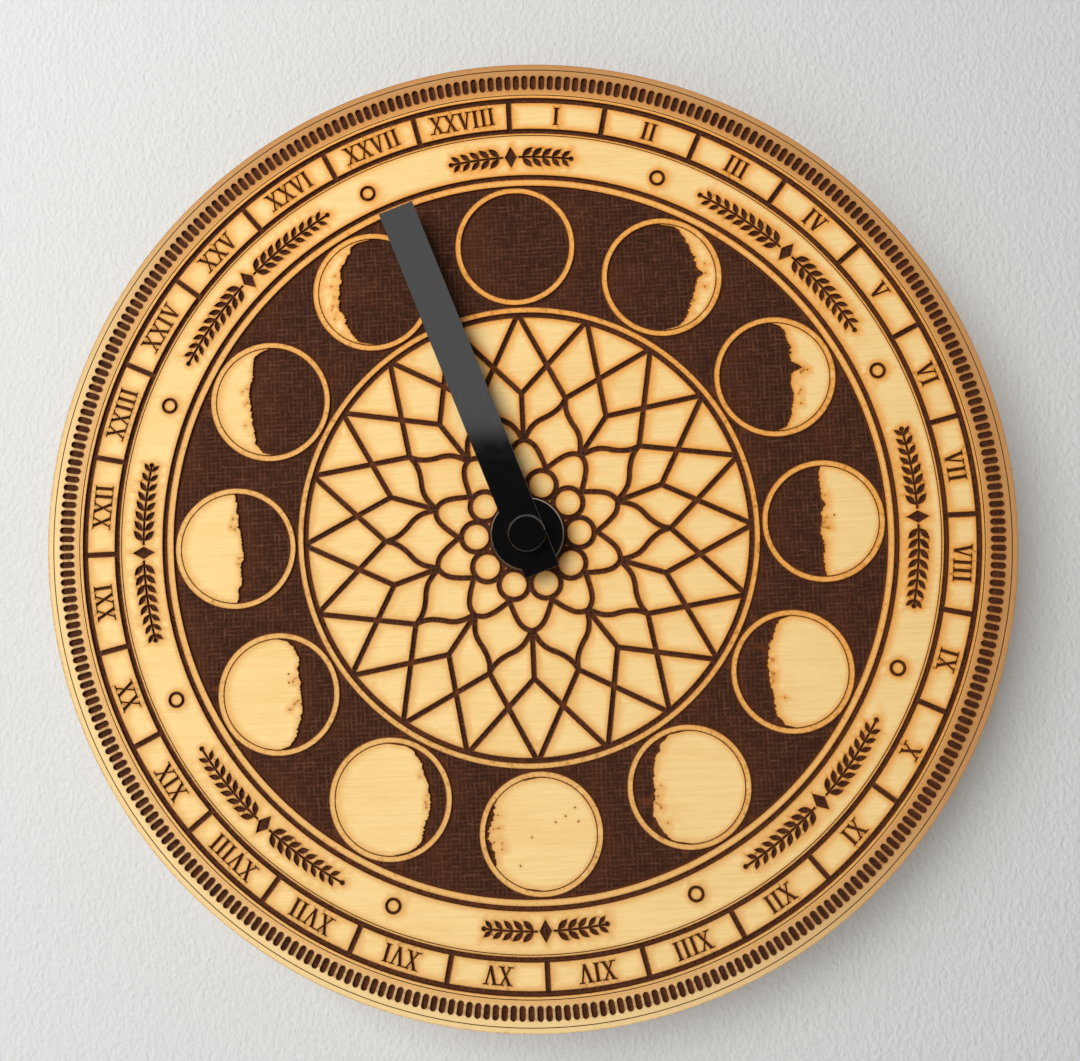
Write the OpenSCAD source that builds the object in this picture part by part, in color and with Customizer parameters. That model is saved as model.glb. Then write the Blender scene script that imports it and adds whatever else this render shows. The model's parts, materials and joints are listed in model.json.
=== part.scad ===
// Wall clock that shows the age of the moon on one hand.
// A round plywood dial, engraved on its face, is held by a nut on the bush of a small quartz
// movement, which hangs on a nail. Millimetres, +Z up, dial facing -Y, wall at Y = 0.

/* [Dial] */
// Diameter of the dial
dial_d = 250; // [240:1:260]
// Thickness of the plywood
dial_t = 4; // [3.5:0.1:4]
// Depth of the engraving
engrave_depth = 0.7; // [0.4:0.1:0.9]
// Number of numbered day cells
day_cells = 28; // [28:28]
// Number of moon pictures
moon_count = 12; // [12:12]
// Radius of the circle of moons
moon_pitch_r = 75.87; // [75.5:0.01:76]
// Middle radius of the raised ring round each moon
moon_ring_r = 14.95; // [14.5:0.05:15]
// Width of the raised ring round each moon
moon_ring_w = 1.3; // [1:0.1:1.4]
// Width of a stroke of the star pattern
stroke_w = 1.35; // [1:0.05:1.5]
// Number of points on the inner flower
petals = 10; // [10:10]

/* [Hand] */
// Distance from the arbor to the tip of the hand
hand_length = 91; // [80:1:92]
// Width of the hand
hand_width = 9.25; // [8:0.25:9.25]
// Length of the hand past the arbor
hand_tail = 10.3; // [9.6:0.1:11]
// Thickness of the hand's metal
hand_t = 0.6; // [0.4:0.1:0.8]
// Where the hand points at rest, degrees clockwise from the top
hand_angle = -19.4; // [-180:0.1:180]
// Diameter of the round plate behind the hand
hub_d = 18.6; // [17:0.1:19]
// Diameter of the cap on the arbor
cap_d = 9.5; // [8:0.1:10]

/* [Movement] */
// Width and height of the movement's case
case_w = 56; // [56:56]
// Depth of the movement's case
case_depth = 16; // [16:16]
// Thickness of the case walls
wall_t = 1.3; // [1.1:0.1:1.3]
// Outer diameter of the threaded bush
bush_d = 8; // [8:8]
// How far the bush stands in front of the case
bush_out = 8.4; // [8.2:0.1:8.6]
// Height of the hanging eye above the arbor
eye_above_arbor = 33; // [32:0.5:35]
// Diameter of the hanging eye
eye_d = 6; // [5:0.5:7]

/* [Gearing] */
// Tooth module of the train
train_module = 0.3; // [0.3:0.3]
// Tooth module of the moon wheel
moon_module = 0.32; // [0.32:0.32]
// Leaves on each pinion of the train
leaves = 6; // [6:6]
// Teeth on the moon wheel
moon_teeth = 59; // [59:59]
// Teeth on the clutch wheel
clutch_teeth = 54; // [54:54]
// Teeth on the second and third wheels
middle_teeth = 48; // [48:48]
// Teeth on the first wheel
first_teeth = 45; // [45:45]
// Leaves on the setting pinion
setting_leaves = 12; // [12:12]

/* [Hidden] */
$fn = 96;
eps = 0.01;
joint_gap = 0.05;

// Engraved rings of the dial, as [middle radius, width]
dial_r = dial_d / 2;
flower_groove = [57.48, 1.4];
field_in_r = 59.5;
field_out_r = 92.1;
label_groove = [94.35, 1.3];
cell_in_groove = [106.87, 1.3];
cell_out_groove = [115.2, 1.4];
cell_line_w = 1.35;
hub_groove = [9.55, 1.3];

// Star pattern: radii of its nodes on the bead axes and on the petal axes
star_tip_r = 57.9;
star_node_r = 36.8;
petal_top_r = 25;
bead_pitch_r = 13.27;
bead_ring_r = 3.85;
petal_step = 360 / petals;

// Terminators, as fractions of the moon's radius from its middle towards the right.
// The first moon is new and the seventh is full.
moon_edges = [1, 0.66, 0.34, 0, -0.42, -0.68, -1, 0.68, 0.36, 0.04, -0.38, -0.64];
moon_lit_r = moon_ring_r - moon_ring_w / 2;

// Places along the arbor, measured from the wall
cover_t = 1.2;
case_inner = case_depth - 1.2;
gasket_t = 1;
dial_back = case_depth + gasket_t;
dial_front = dial_back + dial_t;
washer_t = 0.5;
washer_r = 7.5;
nut_t = 2.5;
nut_across_flats = 12;
gasket_r = 9;
bush_hole_r = bush_d / 2 + 0.1;
hub_back = 25;
hub_t = 0.6;
bar_back = hub_back + hub_t;
bar_front = bar_back + hand_t;
cap_t = 3.6;
collet_r = 3.4;
collet_t = 0.5;

// Layers of the train, as [back, front]
bridge_layer = [3.4, 4.6];
second_layer = [6.6, 7.4];
third_layer = [8.6, 9.4];
clutch_layer = [10.6, 11.4];
first_layer = [10.4, 11.2];
moon_layer = [12.6, 13.6];
stator_layer = [8, 8.8];
core_layer = [7.2, 8];

// Sizes of arbors and pivots
pivot_r = 0.4;
arbor_r = 0.55;
tube_r = 2.5;
tube_bore_r = 1.6;
bush_bore_r = tube_r + joint_gap;
collar_r = 1.2;

// Places of the arbors in the plane of the dial
function polar(c, r, a) = [c[0] + r * cos(a), c[1] + r * sin(a)];
function centre_distance(a, b, m) = (a + b) * m / 2;
moon_at = [0, 0];
clutch_dir = 30;
third_dir = 100;
second_dir = 175;
first_dir = 200;
rotor_dir = 200.6;
setting_dir = 190;
clutch_at = polar(moon_at, centre_distance(moon_teeth, leaves, moon_module), clutch_dir);
third_at = polar(clutch_at, centre_distance(clutch_teeth, leaves, train_module), third_dir);
second_at = polar(third_at, centre_distance(middle_teeth, leaves, train_module), second_dir);
first_at = polar(second_at, centre_distance(middle_teeth, leaves, train_module), first_dir);
rotor_at = polar(first_at, centre_distance(first_teeth, leaves, train_module), rotor_dir);
setting_at = polar(moon_at, centre_distance(moon_teeth, setting_leaves, moon_module), setting_dir);

// Turn of a driven gear that meshes with a driver turned by p, seen in the direction a
function mesh_turn(a, driver, driven, p) = a + 180 - 180 / driven + (a - p) * driver / driven;
clutch_pinion_turn = mesh_turn(clutch_dir, moon_teeth, leaves, 0);
setting_turn = mesh_turn(setting_dir, moon_teeth, setting_leaves, 0);
third_pinion_turn = 0;
clutch_wheel_turn = mesh_turn(third_dir + 180, leaves, clutch_teeth, third_pinion_turn);
second_pinion_turn = 0;
third_wheel_turn = mesh_turn(second_dir + 180, leaves, middle_teeth, second_pinion_turn);
first_pinion_turn = 0;
second_wheel_turn = mesh_turn(first_dir + 180, leaves, middle_teeth, first_pinion_turn);
rotor_pinion_turn = 0;
first_wheel_turn = mesh_turn(rotor_dir + 180, leaves, first_teeth, rotor_pinion_turn);

// Case, battery and coil
half = case_w / 2;
cell_r = 7.25;
cell_length = 50.5;
cell_y = -19.2;
cell_z = 7.5;
nipple_r = 2.7;
nipple_l = 1.2;
cell_left = -26.35;
bay_wall_y = -11.7;
bay_wall_t = 1;
strip_t = 0.3;
strip_z = 6.6;
strip_h = 5.2;
slot_h = strip_h + 1.2;
coil_x = -22;
coil_y0 = -5;
coil_l = 20;
core_w = 2.4;
stator_x = [-18.2, -12.6];
stator_top = [14.8, 18.8];
stator_foot = [-9.2, -5.4];
board_x = [-25.6, -3.2];
board_y = [20.4, 26];
board_z = [8, 9];
knob_r = 4.8;
pillars = [[17.6, 17.6], [20.5, -6.5], [4.5, 23.6], [-9.5, -8.2]];
motor_posts = [[coil_x, 16.9], [coil_x, -7.3]];
board_posts = [[-21.4, 24.6], [-4.6, 21.8]];

// Puts a shape drawn from the front, with depth measured from the wall, in its place
module face_on() {
    translate([0, 0, -eye_above_arbor])
        rotate([90, 0, 0])
            children();
}

module slab(layer) {
    translate([0, 0, layer[0]])
        linear_extrude(layer[1] - layer[0])
            children();
}

module ring_2d(r, w) {
    difference() {
        circle(r + w / 2);
        circle(r - w / 2);
    }
}

module tube(r_out, r_in, z0, z1) {
    difference() {
        translate([0, 0, z0]) cylinder(r = r_out, h = z1 - z0);
        translate([0, 0, z0 - 1]) cylinder(r = r_in, h = z1 - z0 + 2);
    }
}

module rod(r, z0, z1) {
    translate([0, 0, z0]) cylinder(r = r, h = z1 - z0);
}

// A straight stroke between two points
module stroke(a, b, w) {
    length = norm(b - a);
    translate(a)
        rotate(atan2(b[1] - a[1], b[0] - a[0]))
            translate([-w * 0.3, -w / 2])
                square([length + w * 0.6, w]);
}

// Teeth with straight flanks and pointed tops, one after the other round the wheel
function tooth_ring(teeth, m, head, foot, share, top) = [
    for (k = [0 : teeth - 1], p = [
        [-foot, -1], [0, -1], [0.6 * head, -(top + 1) / 2], [head, -top],
        [head, top], [0.6 * head, (top + 1) / 2], [0, 1], [-foot, 1]
    ])
        let (r = teeth * m / 2 + p[0] * m, a = 360 * k / teeth + p[1] * 180 / teeth * share)
            [r * cos(a), r * sin(a)]
];

module wheel_teeth(teeth, m) {
    polygon(tooth_ring(teeth, m, 0.9, 1.3, 0.46, 0.35));
}

module pinion_leaves(count, m) {
    polygon(tooth_ring(count, m, 0.65, 1.25, 0.32, 0.5));
}

// A wheel with spokes, its teeth turned by a
module spoked_wheel(teeth, m, layer, a, hub, spokes = 4) {
    rim_r = teeth * m / 2 - 2.2 * m - 0.5;
    slab(layer)
        rotate(a)
            difference() {
                wheel_teeth(teeth, m);
                difference() {
                    circle(rim_r);
                    circle(hub);
                    for (k = [0 : spokes - 1])
                        rotate(360 * k / spokes)
                            translate([0, -0.5])
                                square([teeth * m / 2 - m * 2, 1]);
                }
            }
}

// A pinion with its own wheel behind or in front of it, on a pivoted arbor
module train_wheel(at, teeth, wheel_layer, wheel_turn, pinion_layer, pinion_turn) {
    translate(at) {
        spoked_wheel(teeth, train_module, wheel_layer, wheel_turn, 1.8);
        slab(pinion_layer) rotate(pinion_turn) pinion_leaves(leaves, train_module);
        rod(arbor_r, bridge_layer[1] + 0.1, case_inner - 0.1);
        rod(pivot_r - joint_gap, bridge_layer[0] + 0.1, case_inner + 0.7);
    }
}

// Star pattern of the dial

function star_point(r, a) = [r * sin(a), r * cos(a)];

// The wavy side of a petal, from a node on the bead axis to the next petal axis
function wave_side() = [
    [0, 36.6], [-0.6, 34.6], [-1.75, 32.7], [-3.3, 31],
    [-4.9, 29.6], [-6.15, 28], [-6.9, 26.2], [-7.3, 24.4]
];

// One side of a small egg-shaped petal, from its top to the bead axis
function egg_side() = [
    [-7.4, 23.5], [-6, 23.4], [-4.4, 22.7], [-2.75, 21.2], [-1.1, 19.2], [0.1, 17.6]
];

module chain(points, w) {
    for (k = [0 : len(points) - 2]) {
        stroke(points[k], points[k + 1], w);
        translate(points[k + 1]) circle(w / 2, $fn = 8);
    }
}

module star_strokes() {
    half_step = petal_step / 2;
    tip = star_point(star_tip_r, 0);
    for (k = [0 : 2 * petals - 1])
        rotate(k * half_step)
            for (s = [-1, 1])
                let (end = star_point(star_node_r, s * half_step))
                    stroke(tip + 0.03 * (end - tip), end, stroke_w);
    for (k = [0 : petals - 1])
        rotate(k * petal_step + half_step) {
            stroke(star_point(petal_top_r, half_step), star_point(star_node_r, half_step), stroke_w);
            for (s = [0, 1])
                mirror([s, 0]) {
                    chain(wave_side(), stroke_w);
                    chain(egg_side(), stroke_w);
                }
            translate([0, bead_pitch_r]) ring_2d(bead_ring_r, stroke_w);
        }
}

// Everything outside the lit part of moon number k, inside its ring
module moon_shade(k) {
    edge = moon_edges[k];
    lit_side = k <= 6 ? 1 : -1;
    steps = 16;
    if (k == 0)
        circle(moon_lit_r);
    else if (k != 6)
        polygon(concat(
            [for (j = [0 : steps])
                let (a = -90 + 180 * j / steps)
                    [edge * moon_lit_r * cos(a), moon_lit_r * sin(a)]],
            [for (j = [1 : steps - 1])
                let (a = 90 - 180 * j / steps)
                    [-lit_side * moon_lit_r * cos(a), moon_lit_r * sin(a)]]
        ));
}

module field_2d() {
    difference() {
        circle(field_out_r);
        circle(field_in_r);
        for (k = [0 : moon_count - 1])
            translate(star_point(moon_pitch_r, k * 360 / moon_count))
                circle(moon_ring_r + moon_ring_w / 2);
    }
    for (k = [0 : moon_count - 1])
        translate(star_point(moon_pitch_r, k * 360 / moon_count))
            moon_shade(k);
}

module rings_2d() {
    for (ring = [flower_groove, label_groove, cell_in_groove, cell_out_groove, hub_groove])
        ring_2d(ring[0], ring[1]);
    for (k = [0 : day_cells - 1])
        rotate(k * 360 / day_cells)
            translate([-cell_line_w / 2, cell_in_groove[0]])
                square([cell_line_w, cell_out_groove[0] - cell_in_groove[0]]);
}

module dial_plate() {
    color("burlywood")
        face_on()
            difference() {
                translate([0, 0, dial_back]) cylinder(r = dial_r, h = dial_t, $fn = 256);
                rod(bush_hole_r, dial_back - 1, dial_front + 1);
                slab([dial_front - engrave_depth, dial_front + 1]) rings_2d();
                slab([dial_front - engrave_depth, dial_front + 1]) field_2d();
                slab([dial_front - engrave_depth, dial_front + 1]) star_strokes();
            }
}

// Hand and its fastening

module moon_hand() {
    color("black")
        face_on()
            rotate(-hand_angle)
                difference() {
                    slab([bar_back, bar_front])
                        translate([-hand_width / 2, -hand_tail])
                            square([hand_width, hand_length + hand_tail]);
                    rod(tube_r + joint_gap, bar_back - 1, bar_front + 1);
                }
}

module hub_plate() {
    color("dimgray")
        face_on()
            tube(hub_d / 2, tube_r + joint_gap, hub_back, bar_back);
}

module hand_collet() {
    color("silver")
        face_on()
            tube(collet_r, tube_r + joint_gap, hub_back - collet_t, hub_back);
}

module centre_cap() {
    rim = 0.7;
    cap_r = cap_d / 2;
    color("black")
        face_on()
            union() {
                translate([0, 0, bar_front])
                    rotate_extrude()
                        polygon([
                            [0, 0], [cap_r, 0], [cap_r, cap_t - rim],
                            [cap_r - rim * 0.3, cap_t - rim * 0.3], [cap_r - rim, cap_t], [0, cap_t]
                        ]);
                rod(tube_bore_r - joint_gap, bar_front - 3, bar_front + eps);
            }
}

module hex_nut() {
    color("goldenrod")
        face_on()
            difference() {
                translate([0, 0, dial_front + washer_t])
                    cylinder(r = nut_across_flats / sqrt(3), h = nut_t, $fn = 6);
                rod(bush_d / 2 + joint_gap, dial_front, dial_front + nut_t + 2);
            }
}

module flat_washer() {
    color("goldenrod")
        face_on()
            tube(washer_r, bush_hole_r, dial_front, dial_front + washer_t);
}

module rubber_gasket() {
    color("dimgray")
        face_on()
            tube(gasket_r, bush_hole_r, case_depth, dial_back);
}

// Bush with a flange inside the case and thread rings on its outside
module threaded_bush() {
    thread_pitch = 0.75;
    thread_depth = 0.4;
    turns = 9;
    thread_from = case_depth + 1.2;
    flange_r = 5.4;
    flange_back = case_inner - 0.8;
    color("gold")
        face_on()
            rotate_extrude()
                polygon(concat(
                    [
                        [bush_bore_r, flange_back], [flange_r, flange_back], [flange_r, case_inner],
                        [bush_d / 2 - joint_gap, case_inner], [bush_d / 2 - joint_gap, thread_from]
                    ],
                    [for (k = [0 : turns - 1], p = [[thread_depth, 0.5], [0, 1]])
                        [bush_d / 2 - joint_gap - p[0], thread_from + (k + p[1]) * thread_pitch]],
                    [
                        [bush_d / 2 - thread_depth, case_depth + bush_out],
                        [bush_bore_r, case_depth + bush_out]
                    ]
                ));
}

// Case of the movement

module case_outline(inset) {
    translate([-half + inset, -half + inset])
        square([case_w - 2 * inset, case_w - 2 * inset]);
}

module front_case() {
    color("#202020")
        face_on()
            difference() {
                union() {
                    difference() {
                        slab([cover_t, case_depth]) case_outline(0);
                        slab([0, case_inner]) case_outline(wall_t);
                    }
                    translate([-half + wall_t - eps, bay_wall_y, cover_t])
                        cube([case_w - 2 * wall_t + 2 * eps, bay_wall_t, case_inner - cover_t + eps]);
                    for (p = pillars)
                        translate(p) {
                            rod(1.9, bridge_layer[1], case_inner + eps);
                            rod(0.8, bridge_layer[0] - 0.4, bridge_layer[1] + eps);
                        }
                    for (p = motor_posts)
                        translate(p) {
                            rod(1.5, stator_layer[1], case_inner + eps);
                            rod(0.6, core_layer[0] - 0.4, stator_layer[1] + eps);
                        }
                    for (p = board_posts)
                        translate(p) {
                            rod(1, board_z[1], case_inner + eps);
                            rod(0.45, board_z[0] - 0.3, board_z[1] + eps);
                        }
                }
                rod(bush_d / 2, case_inner - 1, case_depth + 1);
                for (p = [clutch_at, third_at, second_at, first_at, rotor_at, setting_at])
                    translate(p) rod(pivot_r, case_inner - 1, case_inner + 0.8);
                for (s = [-1, 1])
                    translate([s * (half - wall_t) - 0.5, bay_wall_y - 1, strip_z - 0.6])
                        cube([1, bay_wall_t + 2, slot_h]);
            }
}

module rear_cover() {
    lip = 0.9;
    tab_w = 15;
    bay_top = bay_wall_y + bay_wall_t;
    color("#2a2a2a")
        face_on()
            difference() {
                union() {
                    translate([-half, bay_wall_y, 0]) cube([case_w, half - bay_wall_y, cover_t]);
                    translate([-half, -half, 0]) cube([case_w, 1.3, cover_t]);
                    for (s = [0, 1])
                        mirror([s, 0, 0])
                            translate([-half, -half, 0])
                                cube([1.3, case_w, cover_t]);
                    translate([-half + wall_t + joint_gap, bay_top + joint_gap, cover_t - eps])
                        difference() {
                            cube([
                                case_w - 2 * (wall_t + joint_gap),
                                half - wall_t - bay_top - 2 * joint_gap, 1
                            ]);
                            translate([lip, lip, -1])
                                cube([
                                    case_w - 2 * (wall_t + joint_gap + lip),
                                    half - wall_t - bay_top - 2 * (joint_gap + lip), 3
                                ]);
                        }
                    translate([-tab_w / 2, half - 4, 0])
                        cube([tab_w, eye_above_arbor - half + 4, cover_t]);
                    translate([0, eye_above_arbor, 0]) cylinder(r = tab_w / 2, h = cover_t);
                    translate([0, eye_above_arbor, 0]) cylinder(r = eye_d / 2 + 1.6, h = 2.2);
                }
                translate([0, eye_above_arbor, -1]) cylinder(r = eye_d / 2, h = 5);
                translate(setting_at) rod(knob_r + 0.4, -1, 4);
            }
}

module train_bridge() {
    color("lightgray")
        face_on()
            difference() {
                slab(bridge_layer)
                    polygon([
                        [-17.9, 5], [-17.9, 13], [-9, 20], [2, 25.8], [7, 25.8], [20, 20], [23, 16],
                        [23, -9], [19, -10.2], [-12, -10.2], [-17.4, -4]
                    ]);
                for (p = [clutch_at, third_at, second_at, first_at, rotor_at])
                    translate(p) rod(pivot_r, bridge_layer[0] - 1, bridge_layer[1] + 1);
                rod(0.8, bridge_layer[0] - 1, bridge_layer[1] + 1);
                translate(setting_at) rod(1.1 + joint_gap, bridge_layer[0] - 1, bridge_layer[1] + 1);
                for (p = pillars)
                    translate(p) rod(0.8 + joint_gap, bridge_layer[0] - 1, bridge_layer[1] + 1);
            }
}

// Wheels that carry the hand

module moon_wheel() {
    color("ivory")
        face_on()
            difference() {
                union() {
                    spoked_wheel(moon_teeth, moon_module, moon_layer, 0, 3.6, 5);
                    rod(3.2, moon_layer[1] - eps, case_inner - 0.9);
                    rod(1.4, bridge_layer[1] + 0.1, moon_layer[0] + eps);
                    rod(0.75, bridge_layer[0] + 0.1, bridge_layer[1] + 0.2);
                    rod(tube_r, moon_layer[0] + eps, bar_front);
                }
                rod(tube_bore_r, bar_front - 4.5, bar_front + 1);
            }
}

module clutch_arbor() {
    color("silver")
        face_on()
            translate(clutch_at) {
                slab([moon_layer[0] - 0.2, moon_layer[1] + 0.2])
                    rotate(clutch_pinion_turn)
                        pinion_leaves(leaves, moon_module);
                rod(arbor_r - 0.05, bridge_layer[1] + 0.1, case_inner - 0.1);
                rod(pivot_r - joint_gap, bridge_layer[0] + 0.1, case_inner + 0.7);
                rod(collar_r, clutch_layer[0] - 0.7, clutch_layer[0] - 0.02);
            }
}

module clutch_wheel() {
    color("ivory")
        face_on()
            translate(clutch_at)
                difference() {
                    spoked_wheel(clutch_teeth, train_module, clutch_layer, clutch_wheel_turn, 1.9);
                    rod(arbor_r, clutch_layer[0] - 1, clutch_layer[1] + 1);
                }
}

module clutch_spring() {
    color("gold")
        face_on()
            translate(clutch_at)
                rotate(clutch_pinion_turn)
                    difference() {
                        slab([clutch_layer[1] + 0.02, clutch_layer[1] + 0.3])
                            union() {
                                circle(1.3);
                                square([4.4, 0.9], center = true);
                            }
                        rod(arbor_r - 0.04, clutch_layer[1] - 1, clutch_layer[1] + 2);
                    }
}

module third_wheel() {
    color("ivory")
        face_on()
            train_wheel(
                third_at, middle_teeth, third_layer, third_wheel_turn,
                [10.4, 11.6], third_pinion_turn
            );
}

module second_wheel() {
    color("ivory")
        face_on()
            train_wheel(
                second_at, middle_teeth, second_layer, second_wheel_turn,
                [8.4, 9.6], second_pinion_turn
            );
}

module first_wheel() {
    color("ivory")
        face_on()
            train_wheel(
                first_at, first_teeth, first_layer, first_wheel_turn,
                [6.4, 7.6], first_pinion_turn
            );
}

// Stepping motor

module rotor_pinion() {
    color("ivory")
        face_on()
            translate(rotor_at) {
                slab([10.2, 11.4]) rotate(rotor_pinion_turn) pinion_leaves(leaves, train_module);
                rod(arbor_r, bridge_layer[1] + 0.1, case_inner - 0.1);
                rod(pivot_r - joint_gap, bridge_layer[0] + 0.1, case_inner + 0.7);
                rod(1.1, 9.6, 10);
            }
}

module rotor_magnet() {
    color("slategray")
        face_on()
            translate(rotor_at)
                tube(1.9, arbor_r + 0.02, 7.2, 9.6);
}

module stator() {
    color("silver")
        face_on()
            difference() {
                slab(stator_layer)
                    polygon([
                        [coil_x - 2.2, stator_foot[0]], [stator_x[1], stator_foot[0]],
                        [stator_x[1], stator_top[1]], [coil_x - 2.2, stator_top[1]],
                        [coil_x - 2.2, stator_top[0] + 1.6], [stator_x[0], stator_top[0] + 1.6],
                        [stator_x[0], stator_foot[1] - 0.8], [coil_x - 2.2, stator_foot[1] - 0.8]
                    ]);
                translate(rotor_at) rod(2.45, 7, 10);
                for (p = motor_posts)
                    translate(p) rod(0.6 + joint_gap, 7, 10);
            }
}

module coil_core() {
    color("silver")
        face_on()
            difference() {
                slab(core_layer)
                    translate([coil_x - core_w / 2, stator_foot[0]])
                        square([core_w, stator_top[1] - stator_foot[0]]);
                for (p = motor_posts)
                    translate(p) rod(0.6 + joint_gap, 7, 10);
            }
}

// Coil bobbin: a square tube on the core with a flange at each end
module coil_bobbin() {
    mid = (core_layer[0] + core_layer[1]) / 2;
    flange_t = 0.8;
    flange_z = [stator_layer[0] - 4.2, stator_layer[0] + 3.4];
    color("white")
        face_on()
            difference() {
                union() {
                    for (y = [coil_y0, coil_y0 + coil_l - flange_t])
                        translate([coil_x - 3.4, y, flange_z[0]])
                            cube([6.8, flange_t, flange_z[1] - flange_z[0]]);
                    translate([coil_x, coil_y0 + eps, mid])
                        rotate([-90, 0, 0])
                            cylinder(r = 1.7, h = coil_l - 2 * eps);
                }
                translate([coil_x - core_w / 2 - 0.02, coil_y0 - 1, core_layer[0] - 0.02])
                    cube([core_w + 0.04, coil_l + 2, core_layer[1] - core_layer[0] + 0.04]);
            }
}

module coil_winding() {
    mid = (core_layer[0] + core_layer[1]) / 2;
    flange_t = 0.8;
    color("peru")
        face_on()
            translate([coil_x, coil_y0 + flange_t + 0.02, mid])
                rotate([-90, 0, 0])
                    tube(3.1, 1.75, 0, coil_l - 2 * flange_t - 0.04);
}

module circuit_board() {
    color("darkgreen")
        face_on()
            difference() {
                translate([board_x[0], board_y[0], board_z[0]])
                    cube([board_x[1] - board_x[0], board_y[1] - board_y[0], board_z[1] - board_z[0]]);
                for (p = board_posts)
                    translate(p) rod(0.45 + joint_gap, board_z[0] - 1, board_z[1] + 1);
            }
}

module driver_chip() {
    color("#101010")
        face_on()
            translate([-17, (board_y[0] + board_y[1]) / 2, board_z[1]])
                intersection() {
                    translate([0, 0, -2.6]) sphere(r = 4);
                    cylinder(r = 3, h = 3);
                }
}

module quartz_crystal() {
    can_r = 1;
    can_l = 6;
    color("silver")
        face_on()
            translate([-12.4, (board_y[0] + board_y[1]) / 2, board_z[1] + can_r])
                rotate([0, 90, 0])
                    cylinder(r = can_r, h = can_l);
}

// Setting

module setting_arbor() {
    color("ivory")
        face_on()
            translate(setting_at) {
                slab([moon_layer[0] - 0.2, moon_layer[1] + 0.2])
                    rotate(setting_turn)
                        pinion_leaves(setting_leaves, moon_module);
                rod(1.1, 2.4, moon_layer[0]);
                rod(2, bridge_layer[1] + 0.1, bridge_layer[1] + 0.7);
                rod(pivot_r - joint_gap, moon_layer[1], case_inner + 0.7);
                rod(0.9, 1, 2.5);
            }
}

module setting_knob() {
    grips = 18;
    color("#303030")
        face_on()
            translate(setting_at)
                difference() {
                    slab([0.3, 2.4])
                        difference() {
                            circle(knob_r);
                            for (k = [0 : grips - 1])
                                rotate(360 * k / grips)
                                    translate([knob_r + 0.15, 0])
                                        circle(0.5);
                        }
                    rod(0.92, 0.98, 3);
                    slab([0, 0.7]) square([6, 1], center = true);
                }
}

// Power

module battery_cell() {
    color("#b87333")
        face_on()
            translate([cell_left, cell_y, cell_z])
                rotate([0, 90, 0])
                    union() {
                        translate([0, 0, nipple_l - eps])
                            cylinder(r = cell_r, h = cell_length - nipple_l);
                        cylinder(r = nipple_r, h = nipple_l);
                    }
}

// Strip along the left wall, from the cell to the circuit board
module positive_contact() {
    inner = -half + wall_t;
    color("silver")
        face_on()
            union() {
                translate([inner, -24, strip_z]) cube([strip_t, 46.4, strip_h]);
                translate([inner, 21, board_z[1]]) cube([3, 2.4, strip_t]);
            }
}

// Strip along the right and top walls, with a sprung bow against the cell
module negative_contact() {
    inner = half - wall_t;
    top = half - wall_t;
    bow = 2.2;
    bow_foot = -24.4;
    bow_l = 10.4;
    bow_top = bow_foot + bow_l - 0.1;
    steps = 8;
    outer_edge = [for (k = [0 : steps])
        [-bow * sin(180 * k / steps), bow_foot + bow_l * k / steps]];
    inner_edge = [for (k = [steps : -1 : 0])
        [-bow * sin(180 * k / steps) - strip_t, bow_foot + bow_l * k / steps]];
    color("silver")
        face_on()
            union() {
                translate([inner, 0, strip_z])
                    linear_extrude(strip_h)
                        polygon(concat(outer_edge, inner_edge));
                translate([inner - strip_t, bow_top, strip_z]) cube([strip_t, top - bow_top, strip_h]);
                translate([-6, top - strip_t, 9.3]) cube([inner + 6, strip_t, 2.5]);
                translate([-6, top - 3, board_z[1]]) cube([2.6, 3, strip_t + eps]);
            }
}

dial_plate();
moon_hand();
hub_plate();
hand_collet();
centre_cap();
hex_nut();
flat_washer();
rubber_gasket();
threaded_bush();
front_case();
rear_cover();
train_bridge();
moon_wheel();
clutch_arbor();
clutch_wheel();
clutch_spring();
third_wheel();
second_wheel();
first_wheel();
rotor_pinion();
rotor_magnet();
stator();
coil_core();
coil_bobbin();
coil_winding();
circuit_board();
driver_chip();
quartz_crystal();
setting_arbor();
setting_knob();
battery_cell();
positive_contact();
negative_contact();
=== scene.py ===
"""A wall clock with one hand that shows the age of the moon.

The dial is a plywood disc with a laser-engraved face. Its picture is laid out as closed outlines in
millimetres, painted one over the other, and then cut into the face as real steps. The hand, the
fastening and the quartz movement follow the CAD frame.
"""

import json
import logging
import math
from dataclasses import dataclass, field
from enum import Enum, IntEnum

import bmesh
import bpy
import numpy as np
from mathutils import Matrix, Vector, noise
from mathutils.geometry import delaunay_2d_cdt
from mathutils.kdtree import KDTree

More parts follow.
